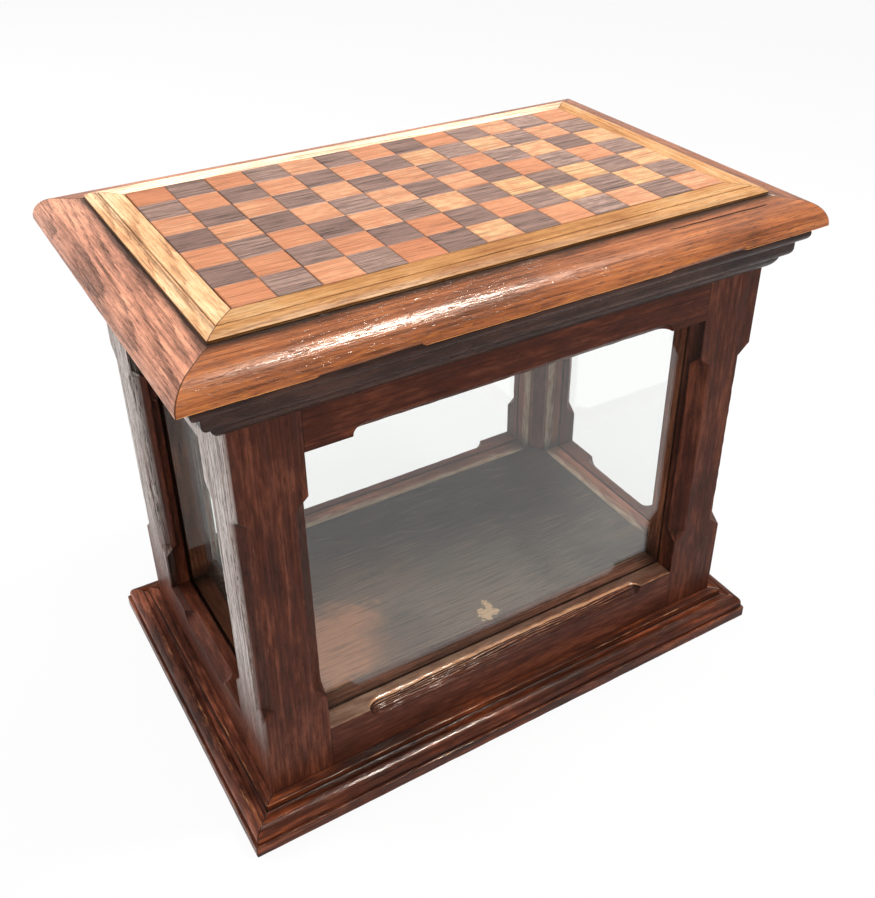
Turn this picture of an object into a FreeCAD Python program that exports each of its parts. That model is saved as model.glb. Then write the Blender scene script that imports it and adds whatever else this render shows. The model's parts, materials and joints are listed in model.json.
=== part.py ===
import FreeCAD, Part
import math
import os

# A glazed table-top display cabinet in oak: a case of four posts and eight rails on a moulded
# base, with a cornice, and a hinged lid inlaid with a chequered field of parquetry.
# Millimetres. X runs along the length, -Y is the front, and Z = 0 is the underside of the base.

# Parquetry: squares of two woods, laid with a hairline of glue between them
square_side = 25.4
square_joint = 0.1
square_thickness = 5.7
square_columns = 13
square_rows = 7

# Border of pale oak around the parquetry: a flat, a scratched groove and a rounded outer edge
border_width = 20.0
border_thickness = 5.3
border_edge_height = 2.2
border_round_width = 7.3
border_round_drop = 0.5
border_round_bulge = 0.5
border_groove_width = 0.8
border_groove_depth = 0.9

# Lid moulding: a gentle slope that rolls over into a large round nose
lid_nose_out = 28.1
lid_nose_radius = 15.0
lid_nose_fillet = 0.5
lid_height = 17.3
lid_lip_height = 6.0
lid_rebate_width = 8.0

# Case: how far its outer faces stand beyond the border, and its levels
case_beyond_border_x = 0.8
case_beyond_border_y = 3.6
bottom_rail_height = 35.3
window_height = 216.7
top_rail_height = 58.6
lid_gap = 0.3

# Posts and rails
post_side = 43.4
rail_thickness = 30.5
tenon_length = 18.0
tenon_thickness = 8.0
tenon_setback = 14.0
tenon_shoulder = 8.0
mortise_side_room = 0.1
mortise_end_room = 0.8

# Stopped chamfers
post_chamfer = 9.0
window_chamfer_post = 8.5
window_chamfer_rail = 7.0
chamfer_stop_length = 8.0
chamfer_stop_inset = 29.0
chamfer_stop_scoop = 1.3

# Glazing: a rebate behind the face, the pane, and mitred beads that hold it
glass_setback = 15.0
rebate_depth = 6.0
glass_thickness = 2.0
glass_room = 0.3
bead_room = 0.2
bead_round = 2.0

# Floor inside the case, on battens
floor_below_sight = 1.2
floor_thickness = 9.5
floor_room = 0.3
batten_side = 12.0
batten_end_room = 5.0

# Cornice of three members, from the lowest to the highest
cornice_low_out = 6.9
cornice_low_height = 9.6
cornice_low_foot = 1.0
cornice_low_straight = 2.2
cornice_mid_out = 12.9
cornice_mid_height = 11.6
cornice_mid_foot = 9.0
cornice_mid_straight = 6.6
cornice_nose_out = 19.2
cornice_nose_height = 10.0
cornice_bulge = 0.9

# Base moulding: a step, a hollow that swells into a round, a quirk, and a square fillet
base_step_out = 7.0
base_step_drop = 4.8
base_hollow_width = 4.6
base_hollow_depth = 0.45
base_round_rise = 0.3
base_round_width = 3.4
base_round_out = 19.8
base_round_height = 6.6
base_face_height = 2.2
base_quirk_depth = 0.7
base_quirk_height = 1.2
base_fillet_out = 21.6
base_fillet_height = 8.8

# Base board, let into the underside of the base mouldings
base_rebate_width = 8.0
base_board_thickness = 9.0
base_board_recess = 1.5
base_board_room = 0.2

# Hinges
hinge_length = 50.0
hinge_spacing = 210.0
hinge_leaf_width = 14.0
hinge_leaf_thickness = 1.5
hinge_beyond_cornice = 0.8
knuckle_count = 5
knuckle_radius = 2.6
knuckle_gap = 0.2
knuckle_room = 0.5
knuckle_plate_room = 0.3
pin_radius = 1.3
pin_room_case = 0.03
pin_room_lid = 0.05

# Countersunk screws: head radius, shank radius, length and the length of the point
hinge_screw = (2.5, 1.2, 11.0, 2.5)
hinge_screw_spacing = 18.0
hinge_screw_line = 8.4
base_screw = (4.2, 2.1, 36.0, 6.0)
base_screw_spacing_x = 170.0
base_screw_spacing_y = 80.0
base_screw_sink = 0.6
screw_slot_width = 0.8
screw_slot_depth = 0.5
screw_room = 0.05

# How far a cutting solid runs past what it cuts
overrun = 2.0

# Levels and half sizes that follow from the sizes above
field_x = square_columns * square_side / 2
field_y = square_rows * square_side / 2
border_x = field_x + border_width
border_y = field_y + border_width
case_x = border_x + case_beyond_border_x
case_y = border_y + case_beyond_border_y
window_x = case_x - post_side
window_y = case_y - post_side
inner_x = case_x - rail_thickness
inner_y = case_y - rail_thickness
base_height = (base_fillet_height + base_quirk_height + base_face_height
               + base_round_height - base_round_rise + base_step_drop)
cornice_height = cornice_low_height + cornice_mid_height + cornice_nose_height
sight_bottom = base_height + bottom_rail_height
sight_top = sight_bottom + window_height
case_top = sight_top + top_rail_height
lid_bottom = case_top + lid_gap
lid_seat = lid_bottom + lid_height
floor_top = sight_bottom - floor_below_sight
bead_depth = rail_thickness - glass_setback - glass_thickness - bead_room
pin_y = case_y + cornice_nose_out + hinge_beyond_cornice
pin_z = case_top + lid_gap / 2

sides = ("front", "right", "back", "left")
quarter_turn = 90
x_axis = FreeCAD.Vector(1, 0, 0)
y_axis = FreeCAD.Vector(0, 1, 0)
z_axis = FreeCAD.Vector(0, 0, 1)


def save(name, shape):
    """Write one named piece, or one group of repeated pieces."""
    shape.exportStep("parts/" + name + ".step")


def box(x_range, y_range, z_range):
    """A box between two limits on each axis."""
    size = [high - low for low, high in (x_range, y_range, z_range)]
    corner = FreeCAD.Vector(x_range[0], y_range[0], z_range[0])
    return Part.makeBox(size[0], size[1], size[2], corner)


def turned(shape, turn):
    """Turn a piece of the front about the vertical axis to the side numbered by turn."""
    moved = shape.copy()
    moved.rotate(FreeCAD.Vector(0, 0, 0), z_axis, turn * quarter_turn)
    return moved


def by_side(turn, on_long_side, on_short_side):
    """The value that holds on the long sides, front and back, or on the short ones."""
    return on_long_side if turn % 2 == 0 else on_short_side


def bulged(start, end, bulge):
    """An arc step from start to end that stands out by bulge to the left of its chord."""
    run = end[0] - start[0]
    rise = end[1] - start[1]
    chord = math.hypot(run, rise)
    middle = ((start[0] + end[0]) / 2 - bulge * rise / chord,
              (start[1] + end[1]) / 2 + bulge * run / chord)
    return (middle, end)


def quarter(start, centre, end):
    """An arc step from start to end about a centre, by way of the point half way round."""
    radius = math.hypot(start[0] - centre[0], start[1] - centre[1])
    reach = ((start[0] + end[0]) / 2 - centre[0], (start[1] + end[1]) / 2 - centre[1])
    scale = radius / math.hypot(reach[0], reach[1])
    return ((centre[0] + reach[0] * scale, centre[1] + reach[1] * scale), end)


def section(start, steps, place):
    """A closed section face: each step is a point, or a pair of points for an arc."""
    edges = []
    here = start
    for step in steps + [start]:
        if isinstance(step[0], tuple):
            edges.append(Part.Arc(place(here), place(step[0]), place(step[1])).toShape())
            here = step[1]
        else:
            edges.append(Part.LineSegment(place(here), place(step)).toShape())
            here = step
    return Part.Face(Part.Wire(edges))


def mitred_ring(start, steps, along_x, along_y, level):
    """Four mitred strips round a rectangle, whose section is given outwards and upwards from it."""
    points = [start]
    for step in steps:
        points.extend(step if isinstance(step[0], tuple) else [step])
    outer = max(point[0] for point in points) + overrun
    inner = min(point[0] for point in points) - overrun
    low = min(point[1] for point in points) - overrun
    high = max(point[1] for point in points) + overrun
    strips = []
    for turn in range(len(sides)):
        run = by_side(turn, along_x, along_y)
        reach = by_side(turn, along_y, along_x)
        profile = section(start, steps, lambda point: FreeCAD.Vector(
            -(run + outer), -(reach + point[0]), level + point[1]))
        strip = profile.extrude(x_axis * (2 * (run + outer)))
        plan = [(-(run + outer), outer), (run + outer, outer), (run + inner, inner),
                (-(run + inner), inner), (-(run + outer), outer)]
        mitres = Part.Face(Part.makePolygon(
            [FreeCAD.Vector(x, -(reach + out), level + low) for x, out in plan]))
        strip = strip.common(mitres.extrude(z_axis * (high - low)))
        strips.append(turned(strip.Solids[0], turn))
    return strips


def stopped_chamfer(start, along, into_a, into_b, length, size, scoop):
    """What a chamfer takes off an arris. Its stops slope up to the arris, flat or with a scoop."""
    depth = (into_a + into_b).normalize()
    across = (into_a - into_b).normalize()
    half_width = size + overrun
    cut = size / math.sqrt(2)
    stop = chamfer_stop_length
    rise = (length - stop, cut)
    fall = (0, 0)
    if scoop:
        rise = bulged((length, 0), rise, -scoop)
        fall = bulged((stop, cut), fall, -scoop)
    steps = [(length, -overrun), (length, 0), rise, (stop, cut), fall]
    profile = section((0, -overrun), steps,
                      lambda point: start + along * point[0] + depth * point[1] - across * half_width)
    return profile.extrude(across * (2 * half_width))


def screw(sizes, head, point_way, room):
    """A countersunk wood screw whose head lies flush at the point head. Room makes it a hole."""
    head_radius, shank_radius, length, point_length = sizes
    head_depth = head_radius - shank_radius
    outline = [(0, 0), (head_radius + room, 0), (shank_radius + room, head_depth),
               (shank_radius + room, length - point_length), (0, length + room), (0, 0)]
    profile = Part.Face(Part.makePolygon([FreeCAD.Vector(x, 0, z) for x, z in outline]))
    body = profile.revolve(FreeCAD.Vector(0, 0, 0), z_axis, 360)
    if not room:
        body = body.cut(box((-head_radius, head_radius),
                            (-screw_slot_width / 2, screw_slot_width / 2),
                            (-overrun, screw_slot_depth)))
    if point_way < 0:
        body.rotate(FreeCAD.Vector(0, 0, 0), x_axis, 2 * quarter_turn)
    body.translate(head)
    return body


def well(room, low, high):
    """The space inside the case. Its corners are cut off from one ring of beads to the next."""
    edge_x = inner_x - room
    edge_y = inner_y - room
    cut_x = window_x + rebate_depth - room
    cut_y = window_y + rebate_depth - room
    quarter_outline = [(edge_x, cut_y), (cut_x, edge_y)]
    outline = quarter_outline + [(-x, y) for x, y in reversed(quarter_outline)]
    outline += [(-x, -y) for x, y in outline]
    outline.append(outline[0])
    plan = Part.Face(Part.makePolygon([FreeCAD.Vector(x, y, low) for x, y in outline]))
    return plan.extrude(z_axis * (high - low))


def post():
    """The post at +X and +Y: mortises, glazing rebates and stopped chamfers on three arrises."""
    shape = box((window_x, case_x), (window_y, case_y), (base_height, case_top))
    room = mortise_side_room
    for low, high in ((base_height, sight_bottom), (sight_top, case_top)):
        level = (low + tenon_shoulder - room, high - tenon_shoulder + room)
        depth = tenon_length + mortise_end_room
        cheek_y = case_y - tenon_setback
        cheek_x = case_x - tenon_setback
        shape = shape.cut(box((window_x - overrun, window_x + depth),
                              (cheek_y - tenon_thickness - room, cheek_y + room), level))
        shape = shape.cut(box((cheek_x - tenon_thickness - room, cheek_x + room),
                              (window_y - overrun, window_y + depth), level))
    rebate_level = (sight_bottom - rebate_depth, sight_top + rebate_depth)
    shape = shape.cut(box((window_x - overrun, window_x + rebate_depth),
                          (inner_y - overrun, case_y - glass_setback), rebate_level))
    shape = shape.cut(box((inner_x - overrun, case_x - glass_setback),
                          (window_y - overrun, window_y + rebate_depth), rebate_level))
    shape = shape.cut(well(0, base_height - overrun, case_top + overrun))
    foot = sight_bottom + chamfer_stop_inset
    length = window_height - 2 * chamfer_stop_inset
    for x, y, into_x, into_y, size in (
            (case_x, case_y, -x_axis, -y_axis, post_chamfer),
            (window_x, case_y, x_axis, -y_axis, window_chamfer_post),
            (case_x, window_y, -x_axis, y_axis, window_chamfer_post)):
        shape = shape.cut(stopped_chamfer(FreeCAD.Vector(x, y, foot), z_axis, into_x, into_y,
                                          length, size, 0))
    return shape


def rail(turn, low, high, sight_level, rebate_way):
    """A rail with its tenons, glazing rebate and stopped chamfer. Its window edge is at sight_level."""
    run = by_side(turn, window_x, window_y)
    reach = by_side(turn, case_y, case_x)
    shape = box((-run, run), (-reach, -reach + rail_thickness), (low, high))
    cheek = -reach + tenon_setback
    shape = shape.fuse(box((-run - tenon_length, run + tenon_length),
                           (cheek, cheek + tenon_thickness),
                           (low + tenon_shoulder, high - tenon_shoulder)))
    ledge = sorted((sight_level - overrun * rebate_way, sight_level + rebate_depth * rebate_way))
    shape = shape.cut(box((-run, run),
                          (-reach + glass_setback, -reach + rail_thickness + overrun), ledge))
    chamfer_start = FreeCAD.Vector(-run + chamfer_stop_inset, -reach, sight_level)
    shape = shape.cut(stopped_chamfer(chamfer_start, x_axis, y_axis, z_axis * rebate_way,
                                      2 * (run - chamfer_stop_inset), window_chamfer_rail,
                                      chamfer_stop_scoop))
    return turned(shape.removeSplitter(), turn)


def make_frame():
    """Four posts, four bottom rails and four top rails."""
    corner = post()
    origin = FreeCAD.Vector(0, 0, 0)
    left = corner.mirror(origin, x_axis)
    save("post_back_right", corner)
    save("post_back_left", left)
    save("post_front_right", corner.mirror(origin, y_axis))
    save("post_front_left", left.mirror(origin, y_axis))
    screws = base_screws(screw_room)
    for turn, side in enumerate(sides):
        bottom = rail(turn, base_height, sight_bottom, sight_bottom, -1)
        save("bottom_rail_" + side, bottom.cut(screws))
        save("top_rail_" + side, rail(turn, sight_top, case_top, sight_top, 1))


def make_glazing():
    """For each window a pane in its rebate, and a ring of beads that holds it from inside."""
    for turn, side in enumerate(sides):
        run = by_side(turn, window_x, window_y)
        reach = by_side(turn, case_y, case_x)
        edge = rebate_depth - glass_room
        glass_face = -reach + glass_setback
        pane = box((-run - edge, run + edge), (glass_face, glass_face + glass_thickness),
                   (sight_bottom - edge, sight_top + edge))
        save("glass_" + side, turned(pane, turn))
        start = (0, 0)
        steps = [(edge, 0), (edge, -bead_depth), (bead_round, -bead_depth),
                 quarter((bead_round, -bead_depth), (bead_round, -bead_depth + bead_round),
                         (0, -bead_depth + bead_round))]
        beads = Part.makeCompound(mitred_ring(start, steps, run, window_height / 2, 0))
        beads.rotate(FreeCAD.Vector(0, 0, 0), x_axis, quarter_turn)
        beads.translate(FreeCAD.Vector(0, glass_face + glass_thickness + bead_room,
                                       sight_bottom + window_height / 2))
        save("glazing_beads_" + side, turned(beads, turn))


def make_floor():
    """The floor board, which fills the well, and the battens that carry it."""
    under = floor_top - floor_thickness
    save("floor_board", well(floor_room, under, floor_top))
    battens = []
    for turn in range(len(sides)):
        half = by_side(turn, window_x, window_y) - batten_end_room
        reach = by_side(turn, inner_y, inner_x)
        batten = box((-half, half), (-reach, -reach + batten_side), (under - batten_side, under))
        battens.append(turned(batten, turn))
    save("floor_battens", Part.makeCompound(battens))


def make_base():
    """Base mouldings under the frame, the board let in beneath them, and the screws."""
    inner = -rail_thickness
    step_foot = base_height - base_step_drop
    hollow_end = (base_step_out + base_hollow_width, step_foot)
    crest = (base_round_out - base_round_height, step_foot + base_round_rise)
    quirk_top = (base_round_out, base_fillet_height + base_quirk_height)
    nose = (base_round_out, quirk_top[1] + base_face_height)
    quirk_foot = (base_round_out - base_quirk_depth, base_fillet_height)
    rebate_top = base_board_recess + base_board_thickness
    start = (inner + base_rebate_width, 0)
    steps = [(base_fillet_out, 0), (base_fillet_out, base_fillet_height), quirk_foot, quirk_top, nose,
             quarter(nose, (crest[0], nose[1]), crest),
             bulged(crest, hollow_end, -base_round_rise / 2),
             bulged(hollow_end, (base_step_out, step_foot), base_hollow_depth),
             (base_step_out, base_height), (inner, base_height), (inner, rebate_top),
             (inner + base_rebate_width, rebate_top)]
    screws = base_screws(screw_room)
    for side, strip in zip(sides, mitred_ring(start, steps, case_x, case_y, 0)):
        save("base_moulding_" + side, strip.cut(screws))
    edge_x = inner_x + base_rebate_width - base_board_room
    edge_y = inner_y + base_rebate_width - base_board_room
    save("base_board", box((-edge_x, edge_x), (-edge_y, edge_y), (base_board_recess, rebate_top)))
    save("base_screws", base_screws(0))


def base_screws(room):
    """Eight screws up through the base mouldings into the bottom rails. Room makes them holes."""
    line_x = case_x - rail_thickness / 4
    line_y = case_y - rail_thickness / 4
    places = [(way * base_screw_spacing_x / 2, end * line_y) for way in (-1, 1) for end in (-1, 1)]
    places += [(end * line_x, way * base_screw_spacing_y / 2) for way in (-1, 1) for end in (-1, 1)]
    pieces = [screw(base_screw, FreeCAD.Vector(x, y, base_screw_sink), 1, room) for x, y in places]
    if room:
        pieces += [Part.makeCylinder(base_screw[0] + room, overrun + base_screw_sink,
                                     FreeCAD.Vector(x, y, -overrun)) for x, y in places]
    return Part.makeCompound(pieces)


def make_cornice():
    """Three members planted round the top of the frame. The hinges are let into the back one."""
    low_top = cornice_low_height
    mid_top = low_top + cornice_mid_height
    nose_radius = cornice_nose_height / 2
    nose_x = cornice_nose_out - nose_radius
    low_arc_end = (cornice_low_out, low_top - cornice_low_straight)
    mid_arc_end = (cornice_mid_out, mid_top - cornice_mid_straight)
    start = (0, 0)
    steps = [(cornice_low_foot, 0),
             bulged((cornice_low_foot, 0), low_arc_end, -cornice_bulge),
             (cornice_low_out, low_top), (cornice_mid_foot, low_top),
             bulged((cornice_mid_foot, low_top), mid_arc_end, -cornice_bulge),
             (cornice_mid_out, mid_top), (nose_x, mid_top),
             ((cornice_nose_out, mid_top + nose_radius), (nose_x, cornice_height)),
             (0, cornice_height)]
    strips = mitred_ring(start, steps, case_x, case_y, case_top - cornice_height)
    for side, strip in zip(sides, strips):
        if side == "back":
            for cutter in hinge_seats(case_top - hinge_leaf_thickness, case_top + overrun, -1):
                strip = strip.cut(cutter)
        save("cornice_" + side, strip)


def make_lid():
    """Lid mouldings, the ground board let into them, the border and the parquetry."""
    inner = -border_width
    shoulder = inner + lid_rebate_width
    centre = (lid_nose_out - lid_nose_radius, lid_nose_fillet)
    # the slope leaves the border's edge and meets the nose at a tangent
    away = math.hypot(centre[0], lid_height - centre[1])
    turn_angle = math.atan2(lid_height - centre[1], -centre[0]) - math.acos(lid_nose_radius / away)
    meets = (centre[0] + lid_nose_radius * math.cos(turn_angle),
             centre[1] + lid_nose_radius * math.sin(turn_angle))
    nose_foot = (lid_nose_out, lid_nose_fillet)
    start = (inner, 0)
    steps = [(lid_nose_out, 0), nose_foot, quarter(nose_foot, centre, meets), (0, lid_height),
             (shoulder, lid_height), (shoulder, lid_lip_height), (inner, lid_lip_height)]
    strips = mitred_ring(start, steps, border_x, border_y, lid_bottom)
    for side, strip in zip(sides, strips):
        if side == "back":
            for cutter in hinge_seats(lid_bottom - overrun, lid_bottom + hinge_leaf_thickness, 1):
                strip = strip.cut(cutter)
        save("lid_moulding_" + side, strip)
    save("lid_ground_board", box((-border_x - shoulder, border_x + shoulder),
                                 (-border_y - shoulder, border_y + shoulder),
                                 (lid_bottom + lid_lip_height, lid_seat)))
    make_border(inner)
    make_parquetry()


def make_border(inner):
    """Four pale strips with a groove near the outer edge, which is rounded over."""
    groove_out = -border_round_width
    groove_in = groove_out - border_groove_width
    round_top = border_thickness - border_round_drop
    steps = [(0, border_edge_height),
             bulged((0, border_edge_height), (groove_out, round_top), -border_round_bulge),
             ((groove_out + groove_in) / 2, border_thickness - border_groove_depth),
             (groove_in, border_thickness), (inner, border_thickness), (inner, 0)]
    for side, strip in zip(sides, mitred_ring((0, 0), steps, border_x, border_y, lid_seat)):
        save("border_" + side, strip)


def make_parquetry():
    """The chequered field: light squares at its corners, and dark ones between."""
    squares = {"light": [], "dark": []}
    joint = square_joint / 2
    for column in range(square_columns):
        for row in range(square_rows):
            x = -field_x + column * square_side
            y = -field_y + row * square_side
            wood = "light" if (column + row) % 2 == 0 else "dark"
            squares[wood].append(box((x + joint, x + square_side - joint),
                                     (y + joint, y + square_side - joint),
                                     (lid_seat, lid_seat + square_thickness)))
    for wood, pieces in squares.items():
        save("parquetry_" + wood, Part.makeCompound(pieces))


def hinge_centres():
    """Where the middles of the two hinges lie along the back."""
    return (("left", -hinge_spacing / 2), ("right", hinge_spacing / 2))


def hinge_screws(plate_face, point_way, room):
    """Three screws through one leaf of each hinge."""
    return Part.makeCompound([
        screw(hinge_screw, FreeCAD.Vector(middle + step * hinge_screw_spacing,
                                          pin_y - hinge_screw_line, plate_face), point_way, room)
        for side, middle in hinge_centres() for step in (-1, 0, 1)])


def hinge_seats(low, high, point_way):
    """What is cut from the wood for each hinge: a leaf recess, room for the knuckles, screw holes."""
    cutters = [hinge_screws(case_top if point_way < 0 else lid_bottom, point_way, screw_room)]
    room = knuckle_radius + knuckle_room
    for side, middle in hinge_centres():
        ends = (middle - hinge_length / 2, middle + hinge_length / 2)
        behind = case_y + lid_nose_out + overrun
        cutters.append(box(ends, (pin_y - hinge_leaf_width, behind), (low, high)))
        knuckle_ends = (ends[0] - knuckle_room, ends[1] + knuckle_room)
        if point_way < 0:
            cutters.append(Part.makeCylinder(room, knuckle_ends[1] - knuckle_ends[0],
                                             FreeCAD.Vector(knuckle_ends[0], pin_y, pin_z), x_axis))
        else:
            cutters.append(box(knuckle_ends, (pin_y - room, behind), (low, pin_z + room)))
    return cutters


def hinge_leaf(middle, low, first_knuckle, pin_room, plate_face, point_way):
    """One leaf with every second knuckle, bored for the pin and countersunk for its screws."""
    ends = (middle - hinge_length / 2, middle + hinge_length / 2)
    level = (low, low + hinge_leaf_thickness)
    plate_edge = pin_y - knuckle_radius - knuckle_plate_room
    leaf = box(ends, (pin_y - hinge_leaf_width, plate_edge), level)
    pitch = hinge_length / knuckle_count
    for index in range(first_knuckle, knuckle_count, 2):
        start = ends[0] + index * pitch + knuckle_gap / 2
        stop = start + pitch - knuckle_gap
        barrel = Part.makeCylinder(knuckle_radius, stop - start,
                                   FreeCAD.Vector(start, pin_y, pin_z), x_axis)
        leaf = leaf.fuse([barrel, box((start, stop), (plate_edge, pin_y), level)])
    bore = Part.makeCylinder(pin_radius + pin_room, hinge_length + 2 * overrun,
                             FreeCAD.Vector(ends[0] - overrun, pin_y, pin_z), x_axis)
    leaf = leaf.cut(bore).cut(hinge_screws(plate_face, point_way, screw_room))
    return leaf.removeSplitter()


def make_hinges():
    """Two butt hinges along the back: the case leaf, the lid leaf and the pin of each."""
    for side, middle in hinge_centres():
        save("hinge_case_leaf_" + side, hinge_leaf(middle, case_top - hinge_leaf_thickness, 0,
                                                   pin_room_case, case_top, -1))
        save("hinge_lid_leaf_" + side, hinge_leaf(middle, lid_bottom, 1, pin_room_lid,
                                                  lid_bottom, 1))
        save("hinge_pin_" + side, Part.makeCylinder(
            pin_radius, hinge_length,
            FreeCAD.Vector(middle - hinge_length / 2, pin_y, pin_z), x_axis))
    save("hinge_screws_case", hinge_screws(case_top, -1, 0))
    save("hinge_screws_lid", hinge_screws(lid_bottom, 1, 0))


os.makedirs("parts", exist_ok=True)
make_frame()
make_glazing()
make_floor()
make_base()
make_cornice()
make_lid()
make_hinges()
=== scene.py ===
# %% [markdown]
# # A glazed oak display cabinet
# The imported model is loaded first, as a frame that stays fixed. It already has every piece at its
# real size, so it could be dressed as it is, with a material on each node. But an old cabinet is
# seen by its arrises: they are rubbed round and paler than the faces. So the oak pieces that show
# are made again here with soft arrises, in the same places, and the CAD nodes keep the hidden work.

# %% Load the frame
import json
import math
import random
from functools import partial

import bmesh
import bpy
from mathutils import Matrix, Vector, noise

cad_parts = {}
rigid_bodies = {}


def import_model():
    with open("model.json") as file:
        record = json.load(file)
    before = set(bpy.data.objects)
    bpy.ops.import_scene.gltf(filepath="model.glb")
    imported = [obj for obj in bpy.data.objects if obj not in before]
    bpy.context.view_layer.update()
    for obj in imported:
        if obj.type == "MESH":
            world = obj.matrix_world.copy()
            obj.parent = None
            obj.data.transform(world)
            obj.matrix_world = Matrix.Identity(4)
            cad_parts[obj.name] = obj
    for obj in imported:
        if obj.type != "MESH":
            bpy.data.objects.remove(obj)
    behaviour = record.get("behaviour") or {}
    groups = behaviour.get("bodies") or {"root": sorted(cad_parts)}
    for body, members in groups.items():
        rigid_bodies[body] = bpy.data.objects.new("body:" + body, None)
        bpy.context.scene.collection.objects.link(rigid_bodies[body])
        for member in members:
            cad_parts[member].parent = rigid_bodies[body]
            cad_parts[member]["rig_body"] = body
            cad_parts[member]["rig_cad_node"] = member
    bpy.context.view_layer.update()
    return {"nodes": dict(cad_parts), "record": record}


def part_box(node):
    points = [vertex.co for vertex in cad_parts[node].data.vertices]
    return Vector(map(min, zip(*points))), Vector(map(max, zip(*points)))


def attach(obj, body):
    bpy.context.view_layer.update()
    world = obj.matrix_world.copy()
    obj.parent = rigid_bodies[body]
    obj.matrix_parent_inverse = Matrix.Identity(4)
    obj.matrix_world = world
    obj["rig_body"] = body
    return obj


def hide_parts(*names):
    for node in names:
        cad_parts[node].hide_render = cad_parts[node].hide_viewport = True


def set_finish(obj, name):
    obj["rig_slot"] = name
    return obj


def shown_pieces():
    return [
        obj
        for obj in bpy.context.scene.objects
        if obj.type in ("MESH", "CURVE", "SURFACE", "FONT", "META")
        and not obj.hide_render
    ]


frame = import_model()
mm = 0.001
sides = ("front", "right", "back", "left")
node_slot = {row["node"]: row["material_slot"] for row in frame["record"]["subparts"]}

# %% [markdown]
# Sizes are read back from the frame instead of being typed again, so the new pieces follow the
# model if it changes. Only the small sizes of each profile are repeated, because a box can't tell
# them.

# %% Sizes from the frame, in millimetres
def box_mm(node):
    """Lowest and highest corner of a node."""
    low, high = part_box(node)
    return low / mm, high / mm


post_low, post_high = box_mm("post_back_right")
window_x, window_y, base_top = post_low
case_x, case_y, case_top = post_high
inner_x = box_mm("bottom_rail_right")[0].x
inner_y = box_mm("bottom_rail_back")[0].y
rail_thickness = case_y - inner_y
sight_bottom = box_mm("bottom_rail_front")[1].z
sight_top = box_mm("top_rail_front")[0].z
glass_setback = case_y - box_mm("glass_back")[1].y
border_high = box_mm("border_back")[1]
border_x = box_mm("border_right")[1].x
border_y = border_high.y
field_x = box_mm("border_right")[0].x
field_y = box_mm("border_back")[0].y
lid_bottom = box_mm("lid_moulding_back")[0].z
lid_seat = box_mm("lid_moulding_back")[1].z
board_top = box_mm("parquetry_light")[1].z
floor_top = box_mm("floor_board")[1].z
print("case", [round(v, 1) for v in (case_x, case_y, case_top)], "window", round(window_x, 1), round(window_y, 1))

# %% [markdown]
# ## Soft arrises
# Each stick and moulding is one outline carried along a length. A Bevel modifier on the CAD mesh
# could soften its edges, but it would know nothing of wear. So the outline itself gets, at every
# sharp corner, a small round and a point on each side where the wear ends. Every vertex then
# knows how rubbed it is, or below 0 how dark, from dirt and painted shade, and the material reads that number.

# %% Outlines
arris_radius = 0.55
wear_band = 2.6


def sharp(u, v, wear=0.5):
    """A corner of an outline, and how rubbed it is."""
    return (u, v, wear, True)


def smooth(u, v, wear=0.0):
    """A point of an outline that isn't a corner."""
    return (u, v, wear, False)


def arc(centre, radius, start, end, steps, wear=(0.0, 0.0)):
    """Points on an arc, from one angle in degrees to another."""
    points = []
    for step in range(steps + 1):
        part = step / steps
        angle = math.radians(start + (end - start) * part)
        points.append(smooth(centre[0] + radius * math.cos(angle), centre[1] + radius * math.sin(angle),
                             wear[0] + (wear[1] - wear[0]) * part))
    return points


def bow(start, end, bulge, steps, wear=0.0):
    """Points between two places, on a shallow curve that stands out to the left by bulge."""
    run = Vector(end) - Vector(start)
    left = Vector((-run.y, run.x)).normalized()
    points = []
    for step in range(1, steps):
        part = step / steps
        place = Vector(start) + run * part + left * (bulge * 4 * part * (1 - part))
        points.append(smooth(place.x, place.y, wear))
    return points


def soften(outline, radius, band):
    """The outline as a ring of (u, v, wear), with a small round at each sharp corner."""
    ring = []
    for index, (u, v, wear, is_sharp) in enumerate(outline):
        if not is_sharp:
            ring.append((u, v, wear))
            continue
        here = Vector((u, v))
        back = Vector(outline[index - 1][:2]) - here
        ahead = Vector(outline[(index + 1) % len(outline)][:2]) - here
        near = [min(radius, arm.length / 3) for arm in (back, ahead)]
        far = [max(length, min(band, arm.length * 0.45)) for length, arm in zip(near, (back, ahead))]
        back.normalize()
        ahead.normalize()
        round_middle = here + (back * near[0] + ahead * near[1]) / 4
        for place, rubbed in ((here + back * far[0], 0), (here + back * near[0], wear), (round_middle, wear),
                              (here + ahead * near[1], wear), (here + ahead * far[1], 0)):
            ring.append((place.x, place.y, rubbed))
    return ring


corner = soften([sharp(0, 0), smooth(9, 0), smooth(0, 9)], arris_radius, wear_band)
print("a corner becomes", len(corner) - 2, "points")

# %% [markdown]
# The rings of points become a closed mesh. Besides its place, each vertex keeps numbers for the
# wood: how far it lies along the grain and from the pith of its tree, how rubbed or how dark it is,
# how near it is to a joint, and the tone of its board, which on some boards is also a painted sheen.
# A texture that reads the grain place runs along every stick, whichever way it lies, and draws
# arches where the pith lies under the face.

# %% From rings to a piece of wood
sharp_angle = 32
pith_near, pith_far = 45, 85


def shade(mesh):
    """Smooth shading, except across sharp edges."""
    mesh.shade_smooth()
    mesh.set_sharp_from_angle(angle=math.radians(sharp_angle))


def stand_for(piece, node):
    """Let a piece ride with a node, replace it and take its finish."""
    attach(piece, frame["nodes"][node]["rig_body"])
    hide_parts(node)
    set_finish(piece, node_slot[node])
    return piece


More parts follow.
